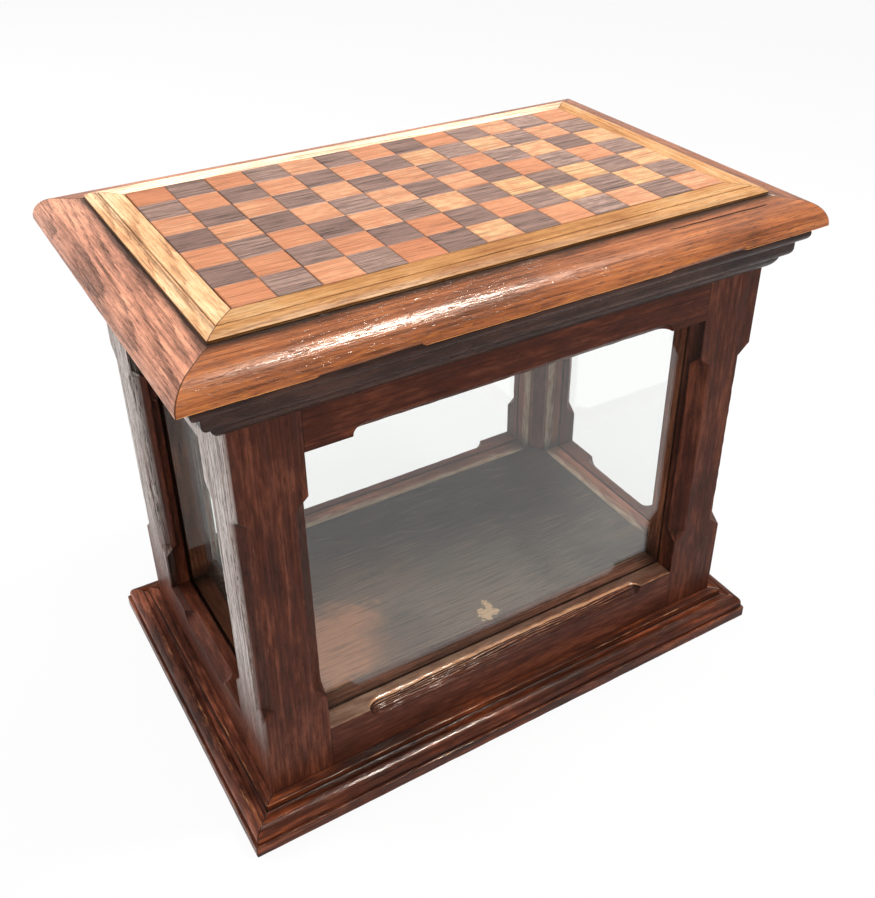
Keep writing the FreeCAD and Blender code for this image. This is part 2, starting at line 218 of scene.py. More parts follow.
def wood_mesh(name, places, faces, grain, numbers):
    """A mesh of wood: places in millimetres, with the numbers that its material reads."""
    mesh = bpy.data.meshes.new(name)
    mesh.from_pydata([Vector(place) * mm for place in places], [], faces)
    flat = [part for spot in grain for part in spot]
    mesh.attributes.new("grain", "FLOAT_VECTOR", "POINT").data.foreach_set("vector", flat)
    for title, values in numbers.items():
        mesh.attributes.new(title, "FLOAT", "POINT").data.foreach_set("value", values)
    shade(mesh)
    piece = bpy.data.objects.new(name, mesh)
    bpy.context.scene.collection.objects.link(piece)
    return piece


def loft(name, rings, place, axis, pith=None, tone=None, seam_reach=0):
    """Carry rings along a length. rings is a list of (t, ring), and place gives a point from t, u, v."""
    draw = random.Random(name)
    middle = [sum(point[side] for point in rings[0][1]) / len(rings[0][1]) for side in (0, 1)]
    angle, away = draw.uniform(0, math.tau), draw.uniform(pith_near, pith_far)
    if pith is None:
        pith = (away * math.cos(angle), away * math.sin(angle))
    if tone is None:
        tone = draw.uniform(-0.1, 0.1)
    places, grain, wear, seam = [], [], [], []
    first, last = rings[0][0], rings[-1][0]
    for t, ring in rings:
        near_end = min(abs(t - first), abs(last - t)) <= seam_reach
        for u, v, rubbed in ring:
            spot = place(t, u, v)
            places.append(spot)
            grain.append((spot[axis], u - middle[0] - pith[0], v - middle[1] - pith[1]))
            wear.append(rubbed)
            seam.append(1.0 if near_end else 0.0)
    count = len(rings[0][1])
    steps = [place(*step) - place(0, 0, 0) for step in ((1, 0, 0), (0, 1, 0), (0, 0, 1))]
    mirrored = steps[1].cross(steps[2]).dot(steps[0]) < 0
    ring = rings[0][1]
    clockwise = sum(ring[i - 1][0] * ring[i][1] - ring[i][0] * ring[i - 1][1] for i in range(count)) < 0
    faces = []
    for row in range(len(rings) - 1):
        for index in range(count):
            after = (index + 1) % count
            faces.append((row * count + index, row * count + after,
                          (row + 1) * count + after, (row + 1) * count + index))
    faces += [tuple(reversed(range(count))), tuple(range((len(rings) - 1) * count, len(rings) * count))]
    if mirrored != clockwise:
        faces = [tuple(reversed(face)) for face in faces]
    return wood_mesh(name, places, faces, grain, {"wear": wear, "seam": seam, "tone": [tone] * len(wear)})


def wander(t, size, pace, seed):
    """A slow uneven drift along a stick, in millimetres: no old arris is quite straight."""
    return size * noise.noise(Vector((t * pace, seed, seed * 0.37)))


print("a drift of 1 mm, every 10 mm", [round(wander(t, 1.0, 0.1, 1), 2) for t in (0, 10, 20, 30)])

# %% [markdown]
# ## Mouldings
# The lid's edge, the pale border, the cornice and the base are all mouldings that run round the
# case and meet in mitres. One function makes the four strips of a ring from an outline measured
# outwards and upwards. At a mitre the two ends are eased a little, as an old joint is, so the line
# between them is a real groove and not a painted one.

# %% The four strips of a ring
mitre_gap = 0.1
mitre_ease = 0.22
mitre_steps = (0, 0.5, 1.4)
station_step = 5.0
# how much the round of an arris comes and goes and a strip's face drifts, and how fast along it
uneven, uneven_pace = 0.9, 0.11
drift, drift_pace = 0.16, 0.03
# each side reads another part of the noise, this far on
side_apart = 1000


def side_turn(turn):
    """The turn from the front to the side of this number."""
    return Matrix.Rotation(math.radians(90 * turn), 4, "Z")


def shrink(ring, depth):
    """Move a closed ring of points inwards."""
    count = len(ring)
    area = sum(ring[i - 1][0] * ring[i][1] - ring[i][0] * ring[i - 1][1] for i in range(count))
    moved = []
    for index, (u, v, wear) in enumerate(ring):
        along = Vector(ring[(index + 1) % count][:2]) - Vector(ring[index - 1][:2])
        inwards = Vector((-along.y, along.x)).normalized() * (depth if area > 0 else -depth)
        moved.append((u + inwards.x, v + inwards.y, wear))
    return moved


def spaced(marks, gap):
    """The marks in order, without those that lie too close behind another."""
    ordered = sorted(marks)
    return [t for index, t in enumerate(ordered) if index == 0 or t - ordered[index - 1] > gap]


def places_along(run, extra=()):
    """Places from -run to run: close together at the mitres and at extra ones."""
    marks = {way * (run - step) for step in mitre_steps for way in (-1, 1)}
    count = round(2 * run / station_step)
    marks.update(run * (2 * step / count - 1) for step in range(1, count))
    marks.update(extra)
    return spaced(marks, 0.3)


def ring_of_strips(family, outline_at, half_x, half_y, level, seed, boards=None, band=1.4, extra=(),
                   arris=arris_radius):
    """Four mitred strips. outline_at gives millimetres out from the rectangle and up from level."""
    made = []
    for turn, side in enumerate(sides):
        run, reach = (half_x, half_y) if turn % 2 == 0 else (half_y, half_x)
        turning = side_turn(turn)
        rings = []
        for t in places_along(run, extra if side == "front" else ()):
            along = t + turn * side_apart
            radius = arris * (1 + wander(along, uneven, uneven_pace, seed))
            sway = -abs(wander(along, drift, drift_pace, seed + 5))
            ring = [(u + sway, v, w) for u, v, w in soften(outline_at(side, t), radius, band)]
            rings.append((t / run, shrink(ring, mitre_ease) if abs(t) == run else ring))

        def place(t, u, v):
            return turning @ Vector((t * (run + u - mitre_gap), -(reach + u), level + v))

        strip = loft(f"{family}_{side}_worn", rings, place, turn % 2, *(boards or {}).get(side, ()))
        made.append(stand_for(strip, f"{family}_{side}"))
    print(family, "strips with", len(made[0].data.polygons), "faces each")
    return made


print("places along a front strip", len(places_along(border_x)))

# %% [markdown]
# The lid's edge is a gentle slope that rolls over into a large round nose. Its lower arris is the
# one that hands take hold of, so it's the most rubbed, and two splinters are gone from it. A crack
# runs along the slope. Both could be painted on, but they catch the light along their edges. So the
# outline asks at each place whether it lies in a chip or in the crack, and moves its points.

# %% Lid moulding
lid_nose_radius = 15.0
lid_nose_fillet = 0.5
lid_lip_height = 6.0
lid_rebate_width = 8.0
lid_nose_out = box_mm("lid_moulding_back")[1].y - border_y
lid_height = lid_seat - lid_bottom
border_width = border_x - field_x
# where the lower arris of the front strip has lost a splinter: its deep end, its thin end and its depth.
# Places along are read at the border: a mitred strip grows longer towards its nose
lid_chips = ((-70, -124, 2.6), (124, 72, 1.8))
# how much of its depth a chip loses on the way, and the part of its length that each broken end takes
chip_thinning, chip_end = 0.6, 1 / 30
# a crack in the slope of the front strip: its ends, how far out each lies, and its depth
lid_crack = ((92, 8.2), (166, 9.6), 1.2)
crack_end = 1 / 8
# the points across the crack, from outside to inside: place, share of its depth, and wear
crack_section = ((0.9, 0, 0.5), (0.45, 0.1, -1), (0, 1, -1), (-0.35, 0.1, -1), (-0.8, 0, 0))
# the nose starts at this angle, and later where a chip is, by so much for each millimetre of its depth
nose_start, nose_start_in_chip = 4, 3
nose_steps = 16
nose_wear = (0.5, 0.0)
# how dark the slope of each strip is beside the border, grime and painted shade, and how that ends: a place out
# and its share
lid_grime_and_shade = {"left": 0.7, "front": 0.85, "right": 0.5, "back": 0.4}
grime_and_shade_ends = ((7.2, 0), (5.2, -0.2), (3.2, -0.5), (1.4, -0.9))


def chipped(side, along):
    """How deep the lower arris of the lid is chipped at a place."""
    lost = 0
    for start, end, depth in lid_chips if side == "front" else ():
        part = (along - start) / (end - start)
        if 0 <= part <= 1:
            broken_end = min(1, part / chip_end, (1 - part) / chip_end)
            lost = max(lost, depth * (1 - chip_thinning * part) * broken_end)
    return lost


def crack_points(side, along, slope):
    """Points across the slope that sink where the crack is. slope gives a height from a place out."""
    (start, out_start), (end, out_end), depth = lid_crack
    part = (along - start) / (end - start)
    out = out_start + (out_end - out_start) * min(max(part, 0), 1) + wander(along, 0.5, 0.09, 31)
    is_cracked = side == "front" and 0 < part < 1
    sunk = depth * min(1, part / crack_end, (1 - part) / crack_end) if is_cracked else 0
    return [smooth(out + step, slope(out + step) - sunk * low, worn if sunk else 0)
            for step, low, worn in crack_section]


def lid_outline(side, along):
    """The section of the lid's edge at one place along a side."""
    lost = chipped(side, along)
    centre = (lid_nose_out - lid_nose_radius, lid_nose_fillet)
    away = math.hypot(centre[0], lid_height - centre[1])
    meets = math.atan2(lid_height - centre[1], -centre[0]) - math.acos(lid_nose_radius / away)
    inner = -border_width
    points = [sharp(inner, 0, 0), sharp(lid_nose_out - lost, 0, 1.0 - 1.6 * min(1, lost))]
    points += arc(centre, lid_nose_radius, nose_start + nose_start_in_chip * lost, math.degrees(meets),
                  nose_steps, nose_wear)
    top = points[-1]

    def slope(out):
        return lid_height + (top[1] - lid_height) * out / top[0]

    points += crack_points(side, along, slope)
    points += [smooth(out, slope(out), dirt_and_shade * lid_grime_and_shade[side]) for out, dirt_and_shade in grime_and_shade_ends]
    points += [smooth(0, lid_height, -1.0), sharp(inner + lid_rebate_width, lid_height, 0),
               sharp(inner + lid_rebate_width, lid_lip_height, 0), sharp(inner, lid_lip_height, 0)]
    return points


# where the pith lies from the middle of each strip, and the tone of its board. The pale tone of the left strip is
# a painted sheen
lid_boards = {"left": ((-24, -31), 0.55), "front": ((60, -70), -0.1), "right": ((-20, -60), -0.22),
              "back": ((60, 30), 0.1)}
# more places along the front strip, so that the chips and the crack get clean ends
lid_marks = [start + (end - start) * part for start, end, _ in lid_chips for part in (0, 0.04, 0.5, 0.96, 1)]
lid_marks += [lid_crack[0][0], lid_crack[1][0]]
lid_strips = ring_of_strips("lid_moulding", lid_outline, border_x, border_y, lid_bottom, 1, lid_boards, 2.2,
                            lid_marks)

# %% [markdown]
# The border frames the chequered field. It has a flat, a scratched groove and a rounded edge.

# %% Border
border_edge_height = 2.2
border_round_width = 7.3
border_round_drop = 0.5
border_groove_width = 0.8
border_groove_depth = 0.9
border_riser_edge = 0.9
border_undercut = 0.6
border_top = border_high.z - lid_seat
# how rubbed or dark the round of each strip is, from the riser up to the groove. The dark parts are dirt and
# painted shade
border_rub_and_shade = {"left": (0.3, 0.2, 0.0, -0.3, -0.55), "front": (-0.2, -0.1, 0.0, 0.0, 0.3),
               "right": (0.0, 0.0, 0.0, 0.0, 0.1), "back": (0.2, 0.2, 0.1, 0.1, 0.1)}


def border_outline(side, along):
    round_top = (-border_round_width, border_top - border_round_drop)
    groove_in = -border_round_width - border_groove_width
    points = [sharp(-border_undercut, 0, -1.0), sharp(-border_undercut, border_undercut, -1.0),
              sharp(0, border_undercut + 0.2, -1.0), smooth(0, border_edge_height - border_riser_edge, -1.0),
              smooth(0, border_edge_height - 0.3, -0.8),
              sharp(0, border_edge_height, 0.0 if side == "front" else 0.6)]
    points += [smooth(u, v, dirt_and_shade) for (u, v, *_), dirt_and_shade
               in zip(bow((0, border_edge_height), round_top, -0.5, 6), border_rub_and_shade[side])]
    # the top of the round is rubbed, except on the left strip, where it's drawn dark: dirt and painted shade
    points += [sharp(*round_top, -0.5 if side == "left" else 0.3),
               smooth(groove_in + border_groove_width / 2, border_top - border_groove_depth, -1.0),
               sharp(groove_in, border_top, 0.4), sharp(-border_width, border_top, 0.2),
               sharp(-border_width, 0, 0)]
    return points


# where the pith lies from the middle of each strip, and the tone of its board. The pale tone of the back strip is
# a painted sheen
border_boards = {"left": ((-14, -30), 0.26), "front": ((-60, -30), -0.28), "right": ((40, -45), -0.14),
                 "back": ((55, 40), 0.9)}
ring_of_strips("border", border_outline, border_x, border_y, lid_seat, 2, border_boards, 1.0)

# %% [markdown]
# The cornice has three members, each standing out further than the one below. The top one is a
# half round that comes close under the lid.

# %% Cornice
cornice_low_out, cornice_low_height, cornice_low_foot, cornice_low_straight = 6.9, 9.6, 1.0, 2.2
cornice_mid_out, cornice_mid_height, cornice_mid_foot, cornice_mid_straight = 12.9, 11.6, 9.0, 6.6
cornice_bulge = 0.9
cornice_foot = box_mm("cornice_front")[0].z
cornice_nose_out = box_mm("cornice_back")[1].y - case_y


def cornice_outline(side, along):
    height = case_top - cornice_foot
    mid_top = cornice_low_height + cornice_mid_height
    nose = (height - mid_top) / 2
    low_end = (cornice_low_out, cornice_low_height - cornice_low_straight)
    mid_end = (cornice_mid_out, mid_top - cornice_mid_straight)
    points = [sharp(0, 0, 0), sharp(cornice_low_foot, 0, 0.4)]
    points += bow((cornice_low_foot, 0), low_end, -cornice_bulge, 5)
    points += [smooth(*low_end), sharp(cornice_low_out, cornice_low_height, 0.6),
               sharp(cornice_mid_foot, cornice_low_height, 0)]
    points += bow((cornice_mid_foot, cornice_low_height), mid_end, -cornice_bulge, 5)
    points += [smooth(*mid_end), sharp(cornice_mid_out, mid_top, 0.6),
               sharp(cornice_nose_out - nose, mid_top, 0)]
    points += arc((cornice_nose_out - nose, mid_top + nose), nose, -75, 75, 10, (0.2, 0.2))
    points += [sharp(cornice_nose_out - nose, height, 0), sharp(0, height, 0)]
    return points


cornice_strips = ring_of_strips("cornice", cornice_outline, case_x, case_y, cornice_foot, 3)

# %% [markdown]
# The hinges are let into the back of the cornice and of the lid, so only their knuckles stand out.
# A Boolean cuts these seats. It's slow and untidy on a large mesh, but here it meets two strips
# and a few plain boxes, and its result is kept as the mesh.

# %% Hinge seats
leaf_thickness = 1.5
seat_room = 0.03
knuckle_room = 0.5
beyond = 30.0


def cut_box(strip, low, high):
    """Cut the box between two corners out of a strip."""
    tool_mesh = bmesh.new()
    bmesh.ops.create_cube(tool_mesh, size=1)
    low, high = Vector(low) * mm, Vector(high) * mm
    for vertex in tool_mesh.verts:
        vertex.co = [(low[i] + high[i]) / 2 + vertex.co[i] * (high[i] - low[i]) for i in range(3)]
    tool = bpy.data.objects.new("seat", bpy.data.meshes.new("seat"))
    tool_mesh.to_mesh(tool.data)
    tool_mesh.free()
    bpy.context.scene.collection.objects.link(tool)
    modifier = strip.modifiers.new("seat", "BOOLEAN")
    modifier.solver = "EXACT"
    modifier.object = tool
    scene_now = bpy.context.evaluated_depsgraph_get()
    cut_mesh = bpy.data.meshes.new_from_object(strip.evaluated_get(scene_now))
    strip.modifiers.clear()
    strip.data = cut_mesh
    bpy.data.objects.remove(tool)


def cut_hinge_seats(strip, leaf, face, way):
    """Cut the seats of two leaves. way is 1 for a face that looks up and -1 for one that looks down."""
    for side in ("left", "right"):
        leaf_low, leaf_high = box_mm(f"{leaf}_{side}")
        pin = sum(box_mm(f"hinge_pin_{side}"), Vector()) / 2
        knuckle = leaf_high.y - pin.y + knuckle_room
        for start_y, depth_level, room in ((leaf_low.y, face - way * leaf_thickness, seat_room),
                                           (pin.y - knuckle, pin.z - way * knuckle, knuckle_room)):
            levels = sorted((depth_level - way * seat_room, face + way * beyond))
            cut_box(strip, (leaf_low.x - room, start_y - seat_room, levels[0]),
                    (leaf_high.x + room, start_y + beyond, levels[1]))


cut_hinge_seats(cornice_strips[2], "hinge_case_leaf", case_top, 1)
cut_hinge_seats(lid_strips[2], "hinge_lid_leaf", lid_bottom, -1)
print("faces after the seats", len(cornice_strips[2].data.polygons), len(lid_strips[2].data.polygons))

# %% [markdown]
# The base has a flat step round the posts, a hollow that swells into a broad round, a quirk and a
# square fillet. Its arrises are rubbed down to bright wood.

# %% Base moulding
base_step_out, base_step_drop = 7.0, 4.8
base_hollow_width, base_hollow_depth = 4.6, 0.45
base_round_rise, base_round_out, base_round_height = 0.3, 19.8, 6.6
base_quirk_depth, base_quirk_height = 0.7, 1.2
base_fillet_height = 8.8
base_rebate_width = 8.0
base_fillet_out = box_mm("base_moulding_back")[1].y - case_y
base_board_top = box_mm("base_board")[1].z


def base_outline(side, along):
    inner = -rail_thickness
    step_foot = base_top - base_step_drop
    hollow_end = (base_step_out + base_hollow_width, step_foot)
    crest = (base_round_out - base_round_height, step_foot + base_round_rise)
    # the quirk and the foot of the step are written below 0, so they are drawn dark: painted shade
    points = [sharp(inner + base_rebate_width, 0, 0), sharp(base_fillet_out, 0, 0.45),
              sharp(base_fillet_out, base_fillet_height, 0.42),
              sharp(base_round_out - base_quirk_depth, base_fillet_height, -0.6),
              sharp(base_round_out, base_fillet_height + base_quirk_height, 0)]
    rubbed = 0.42 if side == "left" else 0.3
    points += arc((crest[0], crest[1] - base_round_height), base_round_height, 0, 90, 9, (0.0, rubbed))
    points += [(u, v, rubbed / 2, False) for u, v, *_ in bow(crest, hollow_end, -base_round_rise / 2, 3)]
    points += [smooth(*hollow_end)]
    points += bow(hollow_end, (base_step_out, step_foot), base_hollow_depth, 3)
    points += [sharp(base_step_out, step_foot, -1.0), sharp(base_step_out, base_top, 0.42),
               sharp(inner, base_top, 0), sharp(inner, base_board_top, 0),
               sharp(inner + base_rebate_width, base_board_top, 0)]
    return points


base_boards = {"left": ((-40, -30), 0.3), "front": ((70, -30), 0.0), "right": ((50, 40), 0.0),
               "back": ((-60, 30), 0.0)}
ring_of_strips("base_moulding", base_outline, case_x, case_y, 0, 4, base_boards, 0.9, arris=0.5)

# %% [markdown]
# ## Posts and rails
# A stopped chamfer is a corner cut off along a stick, which fades out before the joints. In the
# outline each chamfered corner is two corners, and the distance between them changes along the
# stick: nothing at the joints, and the full chamfer between the stops. The stops of the posts are
# flat and those of the rails are scooped, as a gouge leaves them.

# %% Chamfers
post_chamfer = 9.0
window_chamfer_post = 8.5
window_chamfer_rail = 7.0
chamfer_growth = 0.9
stop_length = 8.0
stop_inset = 29.0
rebate_depth = 6.0
hair = 0.05
# how dark a chamfer is, a painted shade, darker still in its stops, and how dark the post is beside the window: 0
# is clean and -1 is black
chamfer_shade, stop_shade, window_side_dark = -0.35, -0.6, -0.8
# where the outline is read near an end, and near a stop: from just before it to just past its length
end_step = 0.8
stop_steps = (-0.6, 0, 0.4, 1.0, 2.0, 3.2, 4.6, 6.2, 7.4, 8.0, 8.6)


def chamfer_at(t, start, end, size, scooped):
    """How much of a corner is cut off at t, between two stops."""
    inside = min(t - start, end - t) / stop_length
    if inside <= 0:
        return hair
    if inside >= 1:
        return size
    return size * (math.sqrt(1 - (1 - inside) ** 2) if scooped else inside)


def shade_at(t, start, end, share):
    """The painted shade on a chamfer at t, darker in its stops. share is how much of its full size it has there.
    """
    if share < 0.1:
        return 0
    return chamfer_shade if min(t - start, end - t) > stop_length else stop_shade


def stations(start, end, chamfer_start, chamfer_end, step_length=station_step):
    """Places along a stick: close together at the stops and wider apart between."""
    marks = {start, start + end_step, end - end_step, end}
    for stop, way in ((chamfer_start, 1), (chamfer_end, -1)):
        marks.update(stop + way * step for step in stop_steps)
    before, after = -stop_steps[0], stop_steps[-1]
    for low, high in ((start + end_step, chamfer_start - before), (chamfer_start + after, chamfer_end - after),
                      (chamfer_end + before, end - end_step)):
        count = max(1, round((high - low) / step_length))
        marks.update(low + (high - low) * step / count for step in range(count + 1))
    return spaced(marks, 0.01)


print("a chamfer near its stop", [round(chamfer_at(t, 0, 200, post_chamfer, False), 1) for t in (0, 4, 8)])

# %% Posts
stick_pace = 0.13
stick_band = 1.0
# the gouge's hand: how ragged a chamfer is, and how fast along it. A dark or rubbed mark reaches this far beside
# it
gouge, post_gouge_pace, rail_gouge_pace = 0.5, 0.2, 0.12
mark_reach = 1.5


def stick(node, places, outline_at, place, axis, seed, **wood):
    """A post or a rail: its outline, read at many places, carried along with arrises that vary a little."""
    rings = []
    for t in places:
        radius = arris_radius * (1 + wander(t, uneven, stick_pace, seed))
        rings.append((t, soften(outline_at(t), radius, stick_band)))
    return stand_for(loft(f"{node}_worn", rings, place, axis, **wood), node)


def post_outline(t, seed):
    """A post's section, for the corner at +X and +Y."""
    foot, head = sight_bottom + stop_inset, sight_top - stop_inset
    ragged = wander(t, gouge, post_gouge_pace, seed)
    outer = chamfer_at(t, foot, head, post_chamfer + ragged, False)
    cut_x = chamfer_at(t, foot, head, window_chamfer_post + ragged, False)
    cut_y = chamfer_at(t, foot, head, window_chamfer_post - ragged, False)
    in_rebate = sight_bottom - rebate_depth < t < sight_top + rebate_depth
    notch = rebate_depth - hair if in_rebate else hair
    rebate_x, rebate_y = window_x + rebate_depth, window_y + rebate_depth
    glass_x, glass_y = case_x - glass_setback, case_y - glass_setback
    outer_shade, cut_shade = [shade_at(t, foot, head, share)
                            for share in (outer / post_chamfer, cut_x / window_chamfer_post)]
    # the chamfers and their stops are drawn dark, a painted shade, and so are the corners at the glass; the face
    # beside the window is drawn dark too
    return [sharp(case_x - outer, case_y, 0.25), sharp(window_x + cut_x, case_y, 0.25),
            smooth(window_x + cut_x / 2, case_y - cut_x / 2, cut_shade),
            sharp(window_x, case_y - cut_x, 0.2), smooth(window_x, case_y - cut_x - mark_reach, window_side_dark),
            sharp(window_x, glass_y, -1.0),
            sharp(window_x + notch, glass_y, 0), sharp(window_x + notch, inner_y, 0),
            sharp(rebate_x, inner_y, 0.3), sharp(inner_x, rebate_y, 0.3),
            sharp(inner_x, window_y + notch, 0), sharp(glass_x, window_y + notch, 0),
            sharp(glass_x, window_y, -1.0), smooth(case_x - cut_y - mark_reach, window_y, window_side_dark),
            sharp(case_x - cut_y, window_y, 0.2),
            smooth(case_x - cut_y / 2, window_y + cut_y / 2, cut_shade),
            sharp(case_x, window_y + cut_y, 0.25), sharp(case_x, case_y - outer, 0.25),
            smooth(case_x - outer / 2, case_y - outer / 2, outer_shade)]


def make_post(corner, way_x, way_y, seed):
    marks = set(stations(base_top, case_top, sight_bottom + stop_inset, sight_top - stop_inset))
    for level in (sight_bottom - rebate_depth, sight_top + rebate_depth):
        marks.update((level - hair, level + hair))
    return stick(f"post_{corner}", sorted(marks), lambda t: post_outline(t, seed),
                 lambda t, u, v: Vector((way_x * u, way_y * v, t)), 2, seed)


posts = [make_post("front_left", -1, -1, 11), make_post("front_right", 1, -1, 12),
         make_post("back_left", -1, 1, 13), make_post("back_right", 1, 1, 14)]
print("posts with", len(posts[0].data.polygons), "faces each")

# %% [markdown]
# The chamfer under the front window has been wet and dry so often that its finish is gone and its
# grain stands up. The soft wood between the hard lines has shrunk, and dirt lies in the valleys. A
# bump can't throw the small broken glints of such ridges, so the outline has points for each one.
# They drift along the rail, fade towards the right and lower down, and sink by an uneven noise.

# %% Rails
ridge_depth = 0.9
ridge_count = 6
points_per_ridge = 4
ridge_slant = 0.012
# how far the ridges wander, in ridges, and how fast along and across; the same for their ragged tops
ridge_wander, wander_along, wander_across = 0.7, 0.03, 2.5
ragged_along, ragged_across = 0.22, 1.3
# how much of their depth they lose from the upper arris to the lower one
ridge_fading = 0.75
# the share of it that they have in the middle, and how much that rises to the left and falls to the right
ridge_share, ridge_lean, lean_length = 0.75, 0.25, 60
# how deep the crests lie and how deep a valley mostly is, as shares, and the painted shadow on the grain in the
# stops
crest_depth, valley_depth, stop_grain_shadow = 0.12, 0.75, -0.45
stick_arris, ledge_arris = 0.8, 3.4


def torn_grain(upper, lower, t, seed, size, torn):
    """Points of a chamfer whose grain stands up in ridges: bare on the crests and dirty in the valleys.

    The ridges run a little slantwise, are deepest near the upper arris and on the left, and have ragged tops.
    """
    points = []
    inwards = Vector((1, -1)).normalized()
    full = size > window_chamfer_rail * 0.95
    count = ridge_count * points_per_ridge
    for index in range(1, count + 1):
        part = index / (count + 1)
        astray = ridge_wander * noise.noise(Vector((t * wander_along, part * wander_across, seed)))
        phase = part * ridge_count + t * ridge_slant + astray
        valley = 0.5 - 0.5 * math.cos(math.tau * phase)
        ragged = valley_depth + noise.noise(Vector((t * ragged_along, phase * ragged_across, seed + 9)))
        share = (1 - ridge_fading * part) * (ridge_share - ridge_lean * max(-1, min(1, t / lean_length)))
        sunk = ridge_depth * torn * (crest_depth + valley * ragged * share) * min(1, size / 3)
        place = Vector(upper).lerp(Vector(lower), part) + inwards * sunk
        worn = torn * (1.0 - 2.0 * valley) * (1 - ridge_fading * part) if full else stop_grain_shadow
        points.append(smooth(place.x, place.y, worn))
    return points


def rail_outline(t, run, is_top, seed, torn):
    """A rail's section: depth from the outer face, and height."""
    size = window_chamfer_rail + wander(t, gouge, rail_gouge_pace, seed)
    if not is_top:
        size += chamfer_growth * (1 - (t / run) ** 2)
    cut = chamfer_at(t, -run + stop_inset, run - stop_inset, size, True)
    if is_top:
        return [sharp(0, case_top, 0), sharp(0, sight_top + cut, 0.2), sharp(cut, sight_top, 0.2),
                sharp(glass_setback, sight_top, 0), sharp(glass_setback, sight_top + rebate_depth, 0),
                sharp(rail_thickness, sight_top + rebate_depth, 0.2), sharp(rail_thickness, case_top, 0)]
    round_arris = min(stick_arris + (ledge_arris - stick_arris) * torn, cut / 2.5)
    reach = round_arris * math.tan(math.radians(22.5))
    upper, lower = (cut - reach * 0.7, sight_bottom - reach * 0.7), (0, sight_bottom - cut)
    # the corner at the glass is drawn dark, a painted shade
    return [sharp(0, base_top, 0), sharp(rail_thickness, base_top, 0),
            sharp(rail_thickness, sight_bottom - rebate_depth, 0.2),
            sharp(glass_setback, sight_bottom - rebate_depth, 0), sharp(glass_setback, sight_bottom, -0.5),
            smooth(cut + reach + mark_reach, sight_bottom, 0.35 * torn),
            *arc((cut + reach, sight_bottom - round_arris), round_arris, 90, 135, 5, (0.6 * torn, 1.0 * torn)),
            *torn_grain(upper, lower, t, seed, cut, torn), sharp(*lower, 0.0)]


def make_rail(family, turn, side, is_top):
    run, reach = (window_x, case_y) if turn % 2 == 0 else (window_y, case_x)
    seed = 20 + turn + 7 * is_top
    turning = side_turn(turn)
    # only the front rail has lost its finish and its smooth chamfer
    torn = 1.0 if side == "front" else 0.1
    step_length = station_step if is_top or side != "front" else station_step / 2
    # the bottom rails are drawn a little paler, a painted sheen, and the top rails a little darker
    return stick(f"{family}_{side}", stations(-run, run, -run + stop_inset, run - stop_inset, step_length),
                 lambda t: rail_outline(t, run, is_top, seed, torn),
                 lambda t, u, v: turning @ Vector((t, -(reach - u), v)), turn % 2, seed,
                 tone=-0.05 if is_top else 0.1, seam_reach=0.4)


for turn, side in enumerate(sides):
    make_rail("bottom_rail", turn, side, False)
    rail = make_rail("top_rail", turn, side, True)
print("rails with", len(rail.data.polygons), "faces each")

# %% [markdown]
# ## Glazing beads
# Each pane is held from inside by four thin strips, mitred like a picture frame. They are made as
# four pieces for each window, because their grain turns at every corner.

# %% Beads
bead_round = 2.0
bead_gap = 0.1
# how pale the lowest strip of each window is. The other three strips share one tone
bead_tones = {"front": 0.0, "right": 0.0, "back": -0.05, "left": -0.45}
other_bead_tone = -0.25
# how rubbed the round of a strip is at its start and end, at the front, on the left and elsewhere
bead_wear = {"front": (0.7, 0.4), "left": (0.4, 0.2)}
bead_wear_elsewhere = (0.9, 0.7)


def make_beads(turn, side):
    run, reach = (window_x, case_y) if turn % 2 == 0 else (window_y, case_x)
    low, high = box_mm(f"glazing_beads_{side}")
    inwards = 1 - turn % 2
    depth = high[inwards] - low[inwards]
    behind_pane = reach - max(abs(low[inwards]), abs(high[inwards]))
    half_height, middle = (sight_top - sight_bottom) / 2, (sight_top + sight_bottom) / 2
    edge = (high.z - low.z) / 2 - half_height
    rubbed = bead_wear.get(side, bead_wear_elsewhere)
    outline = [sharp(0, 0, 0), sharp(edge, 0, 0), sharp(edge, depth, rubbed[1]),
               smooth(bead_round, depth, rubbed[1])]
    outline += arc((bead_round, depth - bead_round), bead_round, 90, 180, 4, rubbed)[1:]
    turning = side_turn(turn)
    for quarter in range(4):
        along, away = (run, half_height) if quarter % 2 == 0 else (half_height, run)
        in_window = Matrix.Rotation(math.radians(90 * quarter), 2)
        rings = []
        count = round(2 * along / (3 * station_step))
        for station in range(count + 1):
            ring = soften(outline, arris_radius / 2, wear_band / 2)
            rings.append((2 * station / count - 1, ring))

        def place(t, u, v):
            flat = in_window @ Vector((t * (along + u - bead_gap), -(away + u)))
            return turning @ Vector((flat.x, -(reach - behind_pane - v), middle + flat.y))

        axis = 2 if quarter % 2 else turn % 2
        tone = other_bead_tone if quarter else bead_tones[side]
        strip = loft(f"glazing_bead_{side}_{quarter + 1}", rings, place, axis, tone=tone)
        stand_for(strip, f"glazing_beads_{side}")


for turn, side in enumerate(sides):
    make_beads(turn, side)
print("beads made for", len(sides), "windows")

# %% [markdown]
# ## Parquetry
# The field could be one plane with a chequered texture, but then no joint would open and no
# square would stand proud. So each square is a small block of wood. A block's place is drawn from
# a fixed seed: a little turned, a little high or low, and a little smaller than its cell.

# %% The squares
columns, rows = 13, 7
square_side = 2 * field_x / columns
square_arris = 0.25
square_band = 1.3
turn_spread = 0.0012
turn_room = 0.03
height_spread = 0.12
joint = 0.08
joint_spread = 0.08
# the first column has shrunk away from the border, most at its two ends
edge_joint, corner_joint = 0.3, 0.75
# joints that have opened with age, between two columns
open_joints = {2: 0.3, 5: 0.12, 9: 0.1}
# light squares of a yellower plank, and how yellow each is
yellow_squares = {(9, 1): 1.0, (8, 2): 0.95, (11, 1): 0.9, (10, 2): 0.9, (6, 0): 0.86, (12, 2): 0.86,
                  (12, 4): 0.84, (7, 5): 0.82, (6, 2): 0.8, (9, 5): 0.8, (10, 4): 0.8}


